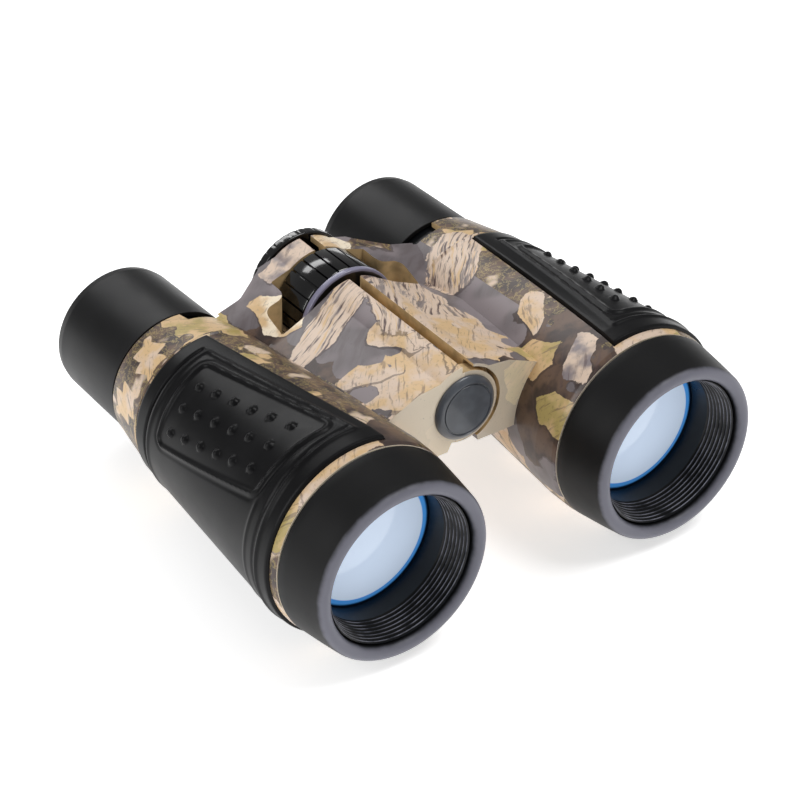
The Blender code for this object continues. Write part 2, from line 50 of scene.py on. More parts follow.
def centre_of(node):
    low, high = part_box(node)
    return (low + high) / 2 / MM


def y_range_of(node):
    """Front and rear of a node, measured back from the objective rims."""
    low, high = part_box(node)
    return low.y / MM - FRONT, high.y / MM - FRONT


# Places of the frame
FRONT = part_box("right_objective_hood")[0].y / MM
BARREL_X = centre_of("right_objective_hood").x
AXIS_Z = centre_of("right_objective_hood").z
HINGE_Z = centre_of("focus_wheel").z - AXIS_Z
ORIGIN = Vector((0, FRONT, AXIS_Z))
SIDES = (("left", -1), ("right", 1))

# Smoothness
TURN_STEPS = 144
SHARP_ANGLE = math.radians(34)

# Barrel shell
BODY_WIDE_Y = 17.0
BODY_WIDE_R = 19.0
BODY_NARROW_Y = 61.5
BODY_NARROW_R = 15.2
RIM_Y = 73.0
GRIP_FRONT_Y = 13.3
GRIP_REAR_Y = 61.5
GRIP_EDGE = (75.0, 90.0)         # angles of the grip's long edges at its front and rear
GRIP_SINK = 0.65                 # the shell is cut this deep under the grip
GRIP_GAP = 0.12
UNROLL_R = 17.0                  # lengths round a barrel are taken at this radius

# Turned ridges inside the objective's mouth
RIDGES = 7
RIDGE_Y = (1.6, 7.0)
RIDGE_CREST = (0.35, 0.5)        # the crest's flat, in shares of the pitch
RIDGE_FOOT = 0.85                # where its far slope ends
CREST_MIDDLE = 0.42              # middle of the painted highlight on the crests

# Turned pieces' shared radii
COLLAR_R = 10.3
WHEEL_R = 10.0
DISC_R = 10.5

# Lenses: edge radius, then front and rear face as (y at the axis, further back at the edge, points)
OBJECTIVE = (14.9, (10.4, 1.8, 20), (16.7, -0.8, 12))
EYE_LENS = (8.7, (82.2, -0.9, 14), (83.7, 1.0, 14))

# Camera
AZIMUTH = -36.25
ELEVATION = 34.23
ROLL = 0.67
DISTANCE = 0.518
TARGET_Y = 40.0
TARGET_SHIFT = (-1.97, 1.34)     # to the camera's right and up
LENS = 127.1

# Colours as seen, 0 to 1
TAN = (0.84, 0.71, 0.53)
PINK_TAN = (0.85, 0.76, 0.68)
CREAM = (0.98, 0.92, 0.82)
OLIVE = (0.70, 0.62, 0.38)
MAUVE = (0.42, 0.39, 0.40)
LIGHT_MAUVE = (0.52, 0.48, 0.49)
DARK_MAUVE = (0.34, 0.30, 0.30)
BROWN = (0.38, 0.29, 0.23)
DARK_BROWN = (0.22, 0.16, 0.14)
BARK_LINE = (0.33, 0.25, 0.24)
RAW_PLASTIC = (0.84, 0.72, 0.53)
BLACK_RUBBER = (0.055, 0.055, 0.06)
# painted highlight: lighter grey base colour for the light on the hood's round lip
LIP_HIGHLIGHT_GREY = (0.45, 0.45, 0.49)
MATT_BLACK = (0.025, 0.03, 0.04)
# painted highlight along the crests of the ridges in the objective's mouth
CREST_HIGHLIGHT_GREY = (0.52, 0.52, 0.56)
COLLAR_GREY = (0.52, 0.51, 0.60)
COLLAR_BLACK = (0.05, 0.05, 0.055)
CAP_GREY = (0.27, 0.285, 0.31)
GLOSS_BLACK = (0.035, 0.035, 0.04)
STEEL = (0.66, 0.66, 0.68)
FLOOR_WHITE = (0.97, 0.97, 0.97)
FLOOR_GLOW = 0.62
WORLD_GLOW = 0.27
# Lens colours are painted light: a pale reflection in the middle, a reflected coloured ring, a dark edge for
# the reflected tube walls, and a weak painted glow
LENS_REFLECTION_PALE = (0.78, 0.84, 0.92)
LENS_REFLECTED_RING = (0.26, 0.54, 0.82)
EYE_REFLECTION_PALE = (0.30, 0.37, 0.46)
EYE_REFLECTED_RING = (0.08, 0.16, 0.30)
LENS_DARK_WALL_REFLECTION = (0.02, 0.05, 0.10)
LENS_PAINTED_GLOW = 0.50


# ---- meshes

def point(x, y, z):
    return (Vector((x, y, z)) + ORIGIN) * MM


def linked(name, data):
    made = bpy.data.objects.new(name, data)
    bpy.context.scene.collection.objects.link(made)
    return made


def make_object(name, mesh, materials):
    mesh.shade_smooth()
    mesh.set_sharp_from_angle(angle=SHARP_ANGLE)
    piece = linked(name, mesh)
    chosen = [face.material_index for face in mesh.polygons]
    mesh.materials.clear()
    for material in materials:
        mesh.materials.append(material)
    mesh.polygons.foreach_set("material_index", chosen)
    return piece


def mesh_from(name, points, faces):
    """A mesh from points in millimetres and faces of their numbers."""
    mesh = bpy.data.meshes.new(name)
    mesh.from_pydata([point(*p) for p in points], [], faces)
    bm = bmesh.new()
    bm.from_mesh(mesh)
    bmesh.ops.remove_doubles(bm, verts=bm.verts, dist=1e-8)
    bmesh.ops.recalc_face_normals(bm, faces=bm.faces)
    bm.to_mesh(mesh)
    bm.free()
    return mesh


def grid_faces(rows, columns, wrap_rows=False, wrap_columns=False):
    faces = []
    for i in range(rows if wrap_rows else rows - 1):
        near, far = i * columns, (i + 1) % rows * columns
        for j in range(columns if wrap_columns else columns - 1):
            k = (j + 1) % columns
            faces.append((near + j, near + k, far + k, far + j))
    return faces


def turned(name, profile, centre, steps=TURN_STEPS, wobble=None):
    """A mesh turned about the y direction. Its profile (y, r) is a loop, or starts and ends at r = 0."""
    cx, cz = centre
    points = []
    for i in range(steps):
        a = FULL_TURN * i / steps
        for y, r in profile:
            reach = r + (wobble(y, r, a) if wobble else 0)
            points.append((cx + reach * math.cos(a), y, cz + reach * math.sin(a)))
    open_ends = profile[0][1] == 0 and profile[-1][1] == 0
    return mesh_from(name, points, grid_faces(steps, len(profile), True, not open_ends))


def fillets(corners, steps=6, closed=True):
    """Rounds a polyline. corners are (a, b, radius); a radius of 0 keeps the corner sharp."""
    out = []
    count = len(corners)
    for i, (a, b, radius) in enumerate(corners):
        here = Vector((a, b))
        if radius == 0 or (not closed and i in (0, count - 1)):
            out.append((a, b))
            continue
        before = Vector(corners[i - 1][:2]) - here
        after = Vector(corners[(i + 1) % count][:2]) - here
        half = before.angle(after) / 2
        back = min(radius / math.tan(half), before.length * 0.49, after.length * 0.49)
        start = here + before.normalized() * back
        end = here + after.normalized() * back
        for k in range(steps + 1):
            t = k / steps
            bend = start * (1 - t) ** 2 + here * 2 * t * (1 - t) + end * t ** 2
            out.append(tuple(bend))
    return out


def arc(centre, radius, start, end, steps):
    """Points on an arc, angles in degrees."""
    turn = [math.radians(start + (end - start) * i / steps) for i in range(steps + 1)]
    return [(centre[0] + radius * math.cos(a), centre[1] + radius * math.sin(a)) for a in turn]


def lofted(name, sections):
    """A closed mesh through sections (y, [(x, z), ...])."""
    count = len(sections[0][1])
    points = [(x, y, z) for y, outline in sections for x, z in outline]
    faces = grid_faces(len(sections), count, False, True)
    faces += [tuple(range(count)), tuple(range(len(points) - count, len(points)))]
    return mesh_from(name, points, faces)


def plan_prism(name, outline, z_range):
    """A closed mesh from an outline (x, y) in plan, between two heights."""
    count = len(outline)
    points = [(x, y, z) for z in z_range for x, y in outline]
    faces = grid_faces(2, count, False, True)
    faces += [tuple(range(count)), tuple(range(count, 2 * count))]
    return mesh_from(name, points, faces)


def boolean(name, base, steps):
    """base with each (mesh, operation) applied in turn."""
    target = linked(name + "_base", base)
    helpers = [target]
    for mesh, operation in steps:
        tool = linked(mesh.name + "_tool", mesh)
        helpers.append(tool)
        modifier = target.modifiers.new(mesh.name, "BOOLEAN")
        modifier.operation = operation
        modifier.solver = "MANIFOLD"
        modifier.object = tool
    graph = bpy.context.evaluated_depsgraph_get()
    result = bpy.data.meshes.new_from_object(target.evaluated_get(graph))
    for helper in helpers:
        bpy.data.objects.remove(helper)
    result.name = name
    return result


def cylinder(name, y_range, radius, centre, steps=TURN_STEPS):
    front, rear = y_range
    return turned(name, [(front, 0), (front, radius), (rear, radius), (rear, 0)], centre, steps)


def mirrored(side, outline):
    return [(side * x, other) for x, other in outline]


def barrel_point(side, radius, angle):
    """(x, z) at an angle in degrees round a barrel axis, measured from the hinge side over the top."""
    a = math.radians(angle)
    return side * (BARREL_X - radius * math.cos(a)), radius * math.sin(a)


def body_radius(y):
    share = (y - BODY_WIDE_Y) / (BODY_NARROW_Y - BODY_WIDE_Y)
    return BODY_WIDE_R + (BODY_NARROW_R - BODY_WIDE_R) * max(share, 0.0)


def grip_edge(y):
    front, rear = GRIP_EDGE
    return front + (rear - front) * (y - GRIP_FRONT_Y) / (GRIP_REAR_Y - GRIP_FRONT_Y)


# ---- materials

def linear(colour):
    """Linear light from a colour as seen."""
    return tuple(c / 12.92 if c <= 0.04045 else ((c + 0.055) / 1.055) ** 2.4 for c in colour) + (1.0,)


class Shader:
    """A material's node tree with short ways to add to it."""

    def __init__(self, name, colour, roughness, **settings):
        self.material = bpy.data.materials.new(name)
        self.material.use_nodes = True
        self.tree = self.material.node_tree
        self.principled = self.tree.nodes["Principled BSDF"]
        self.set("Base Color", linear(colour))
        self.set("Roughness", roughness)
        for key, value in settings.items():
            self.set(key.replace("_", " "), value)

    def set(self, socket, value):
        self.principled.inputs[socket].default_value = value

    def feed(self, socket, source):
        self.tree.links.new(source, self.principled.inputs[socket])

    def add(self, kind, inputs=None, **settings):
        node = self.tree.nodes.new("ShaderNode" + kind)
        for key, value in settings.items():
            setattr(node, key, value)
        for key, value in (inputs or {}).items():
            if isinstance(value, bpy.types.NodeSocket):
                self.tree.links.new(value, node.inputs[key])
            else:
                node.inputs[key].default_value = value
        return node

    def math(self, operation, *values, clamp=False):
        inputs = dict(enumerate(values))
        return self.add("Math", inputs, operation=operation, use_clamp=clamp).outputs[0]

    def vector(self, operation, *values):
        return self.add("VectorMath", dict(enumerate(values)), operation=operation).outputs[0]

    def mix(self, share, first, second):
        """Colours, as seen or from a socket, mixed by a share."""
        pair = [c if isinstance(c, bpy.types.NodeSocket) else linear(c) for c in (first, second)]
        inputs = {0: share, 6: pair[0], 7: pair[1]}
        return self.add("Mix", inputs, data_type="RGBA").outputs[2]

    def step(self, value, low, high):
        """0 below low, 1 above high, smooth between."""
        inputs = {"Value": value, "From Min": low, "From Max": high}
        return self.add("MapRange", inputs, interpolation_type="SMOOTHSTEP").outputs[0]

    def noise(self, place, scale, detail=3.0, roughness=0.5):
        inputs = {"Vector": place, "Scale": scale, "Detail": detail, "Roughness": roughness}
        return self.add("TexNoise", inputs).outputs["Fac"]

    def place(self):
        """Position on the object in millimetres, from the objective rims and the plane of the barrel axes."""
        local = self.add("TexCoord").outputs["Object"]
        scaled = self.add("VectorMath", {0: local, "Scale": 1 / MM}, operation="SCALE").outputs[0]
        return self.vector("SUBTRACT", scaled, ORIGIN)

    def length(self, place):
        return self.add("VectorMath", {0: place}, operation="LENGTH").outputs["Value"]

    def along_y(self, place):
        return self.add("SeparateXYZ", {0: place}).outputs["Y"]

    def axis_radius(self, off):
        """Distance from a lengthwise axis, for places measured from it."""
        return self.length(self.vector("MULTIPLY", off, (1, 0, 1)))

    def bump(self, height, strength, distance):
        inputs = {"Height": height, "Strength": strength, "Distance": distance * MM}
        self.feed("Normal", self.add("Bump", inputs).outputs[0])


def rubber(name, colour, roughness, grain=0.16, shine=0.28):
    """Moulded rubber: a fine grain, and smudges of different gloss."""
    shader = Shader(name, colour, roughness, Specular_IOR_Level=shine)
    place = shader.place()
    fine = shader.noise(place, 5.5, 2.0)
    smudge = shader.noise(place, 0.11, 3.0)
    shader.feed("Roughness", shader.math("MULTIPLY_ADD", smudge, 0.22, roughness - 0.11))
    tint = shader.step(smudge, 0.3, 0.75)
    shader.feed("Base Color", shader.mix(tint, colour, [c * 1.25 for c in colour]))
    shader.bump(fine, grain, 0.03)
    return shader


def hood_material():
    """Hood rubber whose front lip is a little glossier, with a painted highlight: its base colour is a
    lighter grey there.
    """
    shader = rubber("hood_rubber_satin", BLACK_RUBBER, 0.40, 0.08, 0.20)
    place = shader.place()
    y = shader.along_y(place)
    # noise that wobbles the edge of the lip's painted highlight and varies the roughness
    edge_wobble = shader.noise(place, 0.5, 4.0)
    reach = shader.math("MULTIPLY_ADD", edge_wobble, 0.5, y)
    # Painted highlight: the front lip's base colour is mixed towards a lighter grey.
    lip = shader.math("SUBTRACT", 1.0, shader.step(reach, 0.45, 1.6))
    shader.feed("Base Color", shader.mix(lip, BLACK_RUBBER, LIP_HIGHLIGHT_GREY))
    gloss = shader.math("MULTIPLY_ADD", lip, -0.10, 0.44)
    shader.feed("Roughness", shader.math("MULTIPLY_ADD", edge_wobble, 0.06, gloss))
    return shader


def gloss_plastic(name, colour, roughness):
    """Polished moulded plastic with faint scuffs."""
    shader = Shader(name, colour, roughness, Coat_Weight=0.35, Coat_Roughness=0.08)
    place = shader.place()
    scuff = shader.noise(place, 0.5, 3.0, 0.6)
    shader.feed("Roughness", shader.math("MULTIPLY_ADD", scuff, 0.10, roughness - 0.05))
    tint = shader.step(shader.noise(place, 0.3, 2.0), 0.35, 0.7)
    shader.feed("Base Color", shader.mix(tint, colour, [c * 1.2 for c in colour]))
    shader.bump(scuff, 0.02, 0.03)
    return shader


def ridged_black():
    """Matt black inside part, with a painted highlight in a lighter grey along the crests of its turned
    ridges.
    """
    shader = rubber("ridged_black", MATT_BLACK, 0.32, 0.04)
    place = shader.place()
    y = shader.along_y(place)
    front, rear = RIDGE_Y
    ridge_number = shader.math("MULTIPLY", shader.math("SUBTRACT", y, front), RIDGES / (rear - front))
    off_crest = shader.math("SUBTRACT", shader.math("FRACT", ridge_number), CREST_MIDDLE)
    off_crest = shader.math("ABSOLUTE", off_crest)
    crest = shader.math("SUBTRACT", 1.0, shader.step(off_crest, 0.07, 0.20))
    crest = shader.math("MULTIPLY", crest, shader.math("LESS_THAN", y, rear))
    # Painted highlight on the crests, broken up by noise.
    crest_highlight = shader.math("MULTIPLY", crest, shader.step(shader.noise(place, 0.35, 3.0), 0.25, 0.65))
    shader.feed("Base Color", shader.mix(crest_highlight, MATT_BLACK, CREST_HIGHLIGHT_GREY))
    return shader


def collar_material():
    """Satin grey ring whose faces are black below its bright rim."""
    shader = gloss_plastic("collar_satin", COLLAR_GREY, 0.30)
    off = shader.vector("SUBTRACT", shader.place(), (0, 0, HINGE_Z))
    edge_wobble = shader.math("MULTIPLY_ADD", shader.noise(off, 0.8, 2.0), 0.2, shader.axis_radius(off))
    rim = shader.step(edge_wobble, COLLAR_R - 0.55, COLLAR_R - 0.3)
    shader.feed("Base Color", shader.mix(rim, COLLAR_BLACK, COLLAR_GREY))
    return shader


def steel():
    """Turned steel with fine rings round its axis."""
    shader = Shader("turned_steel", STEEL, 0.3, Metallic=1.0)
    place = shader.place()
    stretched = shader.vector("MULTIPLY", place, (0.4, 9.0, 0.4))
    rings = shader.noise(stretched, 1.0, 3.0)
    shader.feed("Roughness", shader.math("MULTIPLY_ADD", rings, 0.25, 0.18))
    shader.bump(rings, 0.12, 0.03)
    return shader


def raw_plastic():
    """Unprinted plastic of the barrels' inner walls."""
    shader = Shader("raw_plastic", RAW_PLASTIC, 0.5)
    place = shader.place()
    cloud = shader.noise(place, 0.35, 4.0)
    dark = [c * 0.80 for c in RAW_PLASTIC]
    shader.feed("Base Color", shader.mix(shader.step(cloud, 0.35, 0.7), RAW_PLASTIC, dark))
    shader.bump(shader.noise(place, 4.0, 2.0), 0.06, 0.03)
    return shader


def lens_material(name, middle, ring, centre, radii):
    """Coated glass painted with the light it reflects, with a weak painted glow: a pale middle painted as
    reflection, then a coloured ring painted as the coating's reflection, then a dark edge painted as the
    reflection of the dark tube walls.
    """
    shader = Shader(name, middle, 0.08, Coat_Weight=0.4, Coat_Roughness=0.03, Specular_IOR_Level=0.3)
    place = shader.vector("SUBTRACT", shader.place(), centre)
    radius = shader.axis_radius(place)
    ring_start, ring_full, dark_start, dark_full = radii
    cloud = shader.noise(place, 0.06, 2.0)
    height = shader.add("SeparateXYZ", {0: place}).outputs["Z"]
    # Painted reflection falloff: the pale middle darkens a little towards the top.
    reflection_falloff = shader.step(shader.math("MULTIPLY_ADD", cloud, 6.0, height), -12.0, 16.0)
    colour = shader.mix(reflection_falloff, middle, [c * 0.93 for c in middle])
    colour = shader.mix(shader.step(radius, ring_start, ring_full), colour, ring)
    colour = shader.mix(shader.step(radius, dark_start, dark_full), colour, LENS_DARK_WALL_REFLECTION)
    shader.feed("Base Color", colour)
    # Painted glow: the lens colours also glow, though the glass is no lamp.
    shader.feed("Emission Color", colour)
    shader.set("Emission Strength", LENS_PAINTED_GLOW)
    return shader


# Layout of the printed pattern: fill, centre (u, v), half sizes, angle in degrees. u runs from the hinge
# across a leaf and then round its barrel, negative on the left half, and v runs back.
CAMO_LAYOUT = (
    ("brown", (-19, 52), (4.5, 14), 8),
    ("twigs", (-23, 34), (5, 24), 6),
    ("cream", (-13.5, 63.5), (4, 5.5), 10),
    ("olive", (-30, 68), (7, 9), -20),
    ("bark", (-8.5, 53.5), (13.5, 3.9), 22),
    ("tan", (-6.5, 29.5), (9.5, 9.5), 25),
    ("tan", (-11.5, 36), (5.8, 2.6), -38),
    ("tan", (-4, 40), (2.6, 7), 16),
    ("tan", (-13.5, 28), (5.5, 2.8), -25),
    ("pink", (-3, 72.5), (9, 3.4), 12),
    ("brown", (-27, 14), (6, 5), 0),
    ("tan", (-39, 13), (8.5, 4.4), 12),
    ("olive", (-49, 13), (4.5, 3.4), -20),
    ("tan", (-68, 12), (7, 4), 20),
    ("bark", (6, 49), (13.5, 8), 58),
    ("bark", (12, 40), (8, 3.6), 80),
    ("tan", (7.5, 33), (10, 8.5), -30),
    ("tan", (3.4, 43), (7.5, 2.4), 70),
    ("bark", (24.5, 59), (9.5, 6), 40),
    ("twigs", (15.5, 73), (8, 4), 10),
    ("cream", (4.5, 72.8), (4.5, 3), 0),
    ("brown", (22, 21), (10.5, 12), 10),
    ("brown", (11, 17), (10, 8), 0),
    ("olive", (12, 14.5), (3.6, 4.6), 20),
    ("olive", (18, 25), (6, 3.6), -48),
    ("tan", (24.5, 33.5), (5.8, 2), 62),
    ("pink", (22, 16), (6, 3), 30),
    ("tan", (33, 13), (7.5, 3.8), -18),
    ("tan", (52, 12.5), (7, 3.2), 18),
)
LEAF_RAG = 1.1                   # how far the points of the leaf areas stand out
BARK_RAG = 0.25
RAG_MEAN = 0.42                  # mean reach of those points
AREA_LIMIT = 1.08                # an area ends here, in shares of its half sizes
AREA_EDGE = 0.03
AREA_FRAY = 0.25
AREA_SHADE = (0.5, 0.6)          # the dark edge beside each area is shifted by this much
STREWN_U = 24.0                  # beyond this the ground is twigs with small strewn leaves
STREWN_SIZE = 15.0
BARREL_U = 19.0                  # where the barrel's part of the print starts, and its angle there
BARREL_ANGLE = math.radians(47)
SHELL_MARGIN = 0.35
END_FACING = 0.7                 # faces that look this much forwards or back count as end faces
UNDERSIDE_ANGLE = -0.5           # angles below this are counted on past half a turn


class CamoPrint:
    """The printed pattern: bark, jagged leaves and twigs over flat mauve."""

    def __init__(self):
        self.shader = Shader("camo_print", MAUVE, 0.42, Coat_Weight=0.18, Coat_Roughness=0.3)
        self.unroll()
        s = self.shader
        cells = {"Vector": self.warped(3.0, 1.2), "Scale": 1 / 6.0, "Randomness": 1.0}
        self.rag = s.add("TexVoronoi", cells, voronoi_dimensions="2D").outputs["Distance"]
        self.fray = s.noise(self.flat, 0.9, 3.0, 0.6)

    def unroll(self):
        """Print coordinates: u across a leaf and then round its barrel, v along the barrel."""
        s = self.shader
        self.place = s.place()
        x, y, z = s.add("SeparateXYZ", {0: self.place}).outputs
        side = s.math("SIGN", x)
        reach = s.math("SUBTRACT", BARREL_X, s.math("ABSOLUTE", x))
        angle = s.math("ARCTAN2", z, reach)
        turns_under = s.math("LESS_THAN", angle, UNDERSIDE_ANGLE)
        angle = s.math("MULTIPLY_ADD", turns_under, FULL_TURN, angle)
        across = s.add("CombineXYZ", {0: reach, 1: z}).outputs[0]
        radius = s.length(across)
        taper = (BODY_NARROW_R - BODY_WIDE_R) / (BODY_NARROW_Y - BODY_WIDE_Y)
        beyond = s.math("MAXIMUM", s.math("SUBTRACT", y, BODY_WIDE_Y), 0.0)
        limit = s.math("MULTIPLY_ADD", beyond, taper, BODY_WIDE_R + SHELL_MARGIN)
        on_barrel = s.math("LESS_THAN", radius, limit)
        round_x = s.math("MULTIPLY_ADD", angle, UNROLL_R, BARREL_U - UNROLL_R * BARREL_ANGLE)
        leaf_x = s.math("ABSOLUTE", x)
        mixed = s.math("MULTIPLY_ADD", s.math("SUBTRACT", round_x, leaf_x), on_barrel, leaf_x)
        self.u = s.math("MULTIPLY", mixed, side)
        facing = s.along_y(s.add("NewGeometry").outputs["Normal"])
        self.front_end = s.math("LESS_THAN", facing, -END_FACING)
        end_face = s.math("GREATER_THAN", s.math("ABSOLUTE", facing), END_FACING)
        self.v = s.math("MULTIPLY_ADD", s.math("MULTIPLY", end_face, z), -1.0, y)
        self.flat = s.add("CombineXYZ", {0: self.u, 1: self.v}).outputs[0]

    def warped(self, size, amount):
        """Print coordinates pushed about by noise."""
        s = self.shader
        inputs = {"Vector": self.flat, "Scale": 1 / size, "Detail": 2.0}
        noise = s.add("TexNoise", inputs).outputs["Color"]
        push = s.vector("SUBTRACT", noise, (0.5, 0.5, 0.5))
        scaled = s.add("VectorMath", {0: push, "Scale": amount}, operation="SCALE").outputs[0]
        return s.vector("ADD", self.flat, scaled)

    def streaks(self, angle, length, width, low, high):
        """Lines that run at an angle in degrees."""
        s = self.shader
        inputs = {"Vector": self.warped(8.0, 2.2), "Rotation": (0, 0, math.radians(angle)),
                  "Scale": (length, width, 1)}
        place = s.add("Mapping", inputs, vector_type="TEXTURE").outputs[0]
        return s.step(s.noise(place, 1.0, 4.0, 0.6), low, high)

    def area(self, centre, half, angle, rag):
        """Mask of a tilted oval with a cut edge."""
        s = self.shader
        inputs = {"Vector": self.flat, "Location": (*centre, 0), "Rotation": (0, 0, math.radians(angle)),
                  "Scale": (*half, 1)}
        place = s.add("Mapping", inputs, vector_type="TEXTURE").outputs[0]
        reach = s.length(place)
        reach = s.math("MULTIPLY_ADD", self.rag, -rag, reach)
        reach = s.math("MULTIPLY_ADD", self.fray, AREA_FRAY, reach)
        limit = AREA_LIMIT - RAG_MEAN * rag
        return s.math("SUBTRACT", 1.0, s.step(reach, limit, limit + AREA_EDGE))

    def leaf_layer(self, size, offset, present):
        """Small pointed leaves strewn over the print. Gives (mask, random value)."""
        s = self.shader
        place = s.vector("ADD", self.warped(2.6, 0.9), (offset, offset * 0.7, 0))
        inputs = {"Vector": place, "Scale": 1 / size, "Randomness": 0.9}
        cells = s.add("TexVoronoi", inputs, voronoi_dimensions="2D")
        chance = s.add("SeparateColor", {0: cells.outputs["Color"]}).outputs
        local = s.vector("SUBTRACT", place, cells.outputs["Position"])
        turn_inputs = {"Vector": local, "Axis": (0, 0, 1), "Angle": s.math("MULTIPLY", chance[0], FULL_TURN)}
        turned_place = s.add("VectorRotate", turn_inputs, rotation_type="AXIS_ANGLE").outputs[0]
        along, across, _ = s.add("SeparateXYZ", {0: turned_place}).outputs
        along = s.math("MULTIPLY", along, 2.2 / size)
        across = s.math("MULTIPLY", across, 2.2 / size)
        taper = s.math("SUBTRACT", 1.0, s.math("ABSOLUTE", along), clamp=True)
        teeth = s.math("PINGPONG", s.math("MULTIPLY_ADD", along, 3.4, 20.0), 1.0)
        width = s.math("MULTIPLY", taper, s.math("MULTIPLY_ADD", teeth, 0.55, 0.35))
        inside = s.math("SUBTRACT", width, s.math("ABSOLUTE", across))
        mask = s.math("MULTIPLY", s.step(inside, 0.0, 0.05), s.math("LESS_THAN", chance[1], present))
        return mask, chance[2]

    def bark(self, angle):
        """Pale bark with dark lines along it."""
        s = self.shader
        colour = s.mix(self.streaks(angle, 7.0, 0.62, 0.36, 0.50), BARK_LINE, PINK_TAN)
        colour = s.mix(self.streaks(angle + 4, 12.0, 0.9, 0.55, 0.66), colour, TAN)
        cracks = s.math("MULTIPLY", self.streaks(angle, 20.0, 1.8, 0.54, 0.64), 0.8)
        return s.mix(cracks, colour, MAUVE)

    def leaf_flesh(self, first, second, angle):
        """Dry leaf: two tones, a few veins and dark crumbs."""
        s = self.shader
        colour = s.mix(s.step(s.noise(self.flat, 0.20, 3.0), 0.40, 0.60), first, second)
        veins = self.streaks(angle, 7.0, 0.8, 0.56, 0.66)
        crumbs = s.step(s.noise(self.flat, 1.1, 4.0, 0.65), 0.56, 0.66)
        colour = s.mix(s.math("MULTIPLY", crumbs, 0.35), colour, [c * 0.6 for c in first])
        return s.mix(s.math("MULTIPLY", veins, 0.55), colour, BARK_LINE)

    def twigs(self):
        """Tangle of thin pale and olive lines on dark brown."""
        s = self.shader
        tangle = s.noise(self.warped(4.0, 3.0), 0.55, 5.0, 0.65)
        lines = s.math("ABSOLUTE", s.math("SUBTRACT", tangle, 0.5))
        pale = s.math("SUBTRACT", 1.0, s.step(lines, 0.006, 0.03))
        ground = s.mix(s.step(s.noise(self.flat, 0.25, 3.0), 0.42, 0.58), DARK_BROWN, BROWN)
        ground = s.mix(s.step(s.noise(self.flat, 0.16, 2.0), 0.56, 0.66), ground, PINK_TAN)
        return s.mix(s.math("MULTIPLY", pale, 0.6), ground, OLIVE)

    def build(self):
        s = self.shader
        strokes = self.streaks(35, 8.0, 1.3, 0.40, 0.66)
        ground = s.mix(s.math("MULTIPLY", strokes, 0.55), MAUVE, DARK_MAUVE)
        colour = s.mix(s.step(s.noise(self.flat, 0.075, 2.0), 0.48, 0.60), ground, LIGHT_MAUVE)
        fills = {
            "tan": self.leaf_flesh(TAN, PINK_TAN, 55),
            "cream": self.leaf_flesh(CREAM, TAN, 20),
            "olive": self.leaf_flesh(OLIVE, TAN, -40),
            "pink": self.leaf_flesh(PINK_TAN, LIGHT_MAUVE, 40),
            "brown": self.leaf_flesh(DARK_BROWN, BROWN, 35),
            "twigs": self.twigs(),
        }

        mask, chance = self.leaf_layer(STREWN_SIZE, 3.0, 0.75)
        strewn = s.math("GREATER_THAN", s.math("ABSOLUTE", self.u), STREWN_U)
        mask = s.math("MULTIPLY", mask, strewn)
        colour = s.mix(strewn, colour, fills["twigs"])
        colour = s.mix(mask, colour, s.mix(s.math("GREATER_THAN", chance, 0.6), fills["tan"], fills["olive"]))
        for fill, centre, half, angle in CAMO_LAYOUT:
            paint = self.bark(angle) if fill == "bark" else fills[fill]
            rag = BARK_RAG if fill == "bark" else LEAF_RAG
            behind = (centre[0] - AREA_SHADE[0], centre[1] - AREA_SHADE[1])
            shade = self.area(behind, half, angle, rag)
            colour = s.mix(s.math("MULTIPLY", shade, 0.6), colour, DARK_BROWN)
            colour = s.mix(self.area(centre, half, angle, rag), colour, paint)

        # Painted highlight: the front end faces of both leaves are mixed towards cream for the strong light
        # on them, the left one most.
        share = s.math("MULTIPLY_ADD", s.math("LESS_THAN", self.u, 0.0), 0.30, 0.60)
        colour = s.mix(s.math("MULTIPLY", self.front_end, share), colour, CREAM)
        specks = s.step(s.noise(self.flat, 1.4, 4.0, 0.7), 0.60, 0.72)
        colour = s.mix(s.math("MULTIPLY", specks, 0.30), colour, DARK_BROWN)
        s.feed("Base Color", colour)
        sheen = s.noise(self.place, 0.15, 3.0)
        s.feed("Roughness", s.math("MULTIPLY_ADD", sheen, 0.2, 0.32))
        s.bump(s.noise(self.place, 3.5, 3.0), 0.05, 0.03)
        return s.material


# ---- barrels

LEAF_STATIONS = (
    # y, hinge radius, shoulder (x, z), barrel side (x, z), end inside the shell (x, z)
    (24.1, 8.6, (10.0, 15.3), (17.1, 12.2), (24.0, 9.0)),
    (38.0, 8.9, (9.9, 14.9), (18.0, 12.0), (24.0, 9.0)),
    (50.0, 9.1, (9.9, 14.5), (18.9, 11.6), (24.0, 8.8)),
    (59.0, 9.3, (9.8, 14.1), (17.8, 10.5), (24.0, 8.0)),
    (66.0, 9.8, (11.0, 15.0), (22.6, 12.1), (26.0, 9.0)),
    (75.0, 10.0, (11.0, 15.6), (23.5, 12.6), (26.0, 9.0)),
)
LEAF_ARC_END = 52.0
LEAF_BOTTOM = (3.4, 0.5)
SLOT_FOOT = 6.1
SLOT_X = {-1: 0.5, 1: 1.9}
KNUCKLES = {-1: ((33.6, 44.9), (70.1, 70.9)), 1: ((27.3, 33.1), (45.4, 57.9), (71.4, 72.2))}
KNUCKLE_R = 5.6
KNUCKLE_ROOM_R = 6.0
GAP = 0.3
BOSS_Y = (24.1, 26.9)
BOSS_R = 7.3
BOSS_ROOM_R = 8.05
PIN_BORE_R = 3.9
WINDOW_X = 15.5
WINDOW_Y = (58.8, 70.0)
WINDOW_SIDE_Y = 65.0             # beside the wheel the window ends here
WINDOW_WAIST_X = 10.5            # further back it is only this wide
WINDOW_PRINT_Z = 12.4            # its walls are printed above this height
TOOL_Z = (-2.0, 22.0)            # heights that are clear of the leaves
BEHIND_Y = 80.0                  # a place behind the leaves
WASHER_ROOM_Y = (58.05, 59.6)
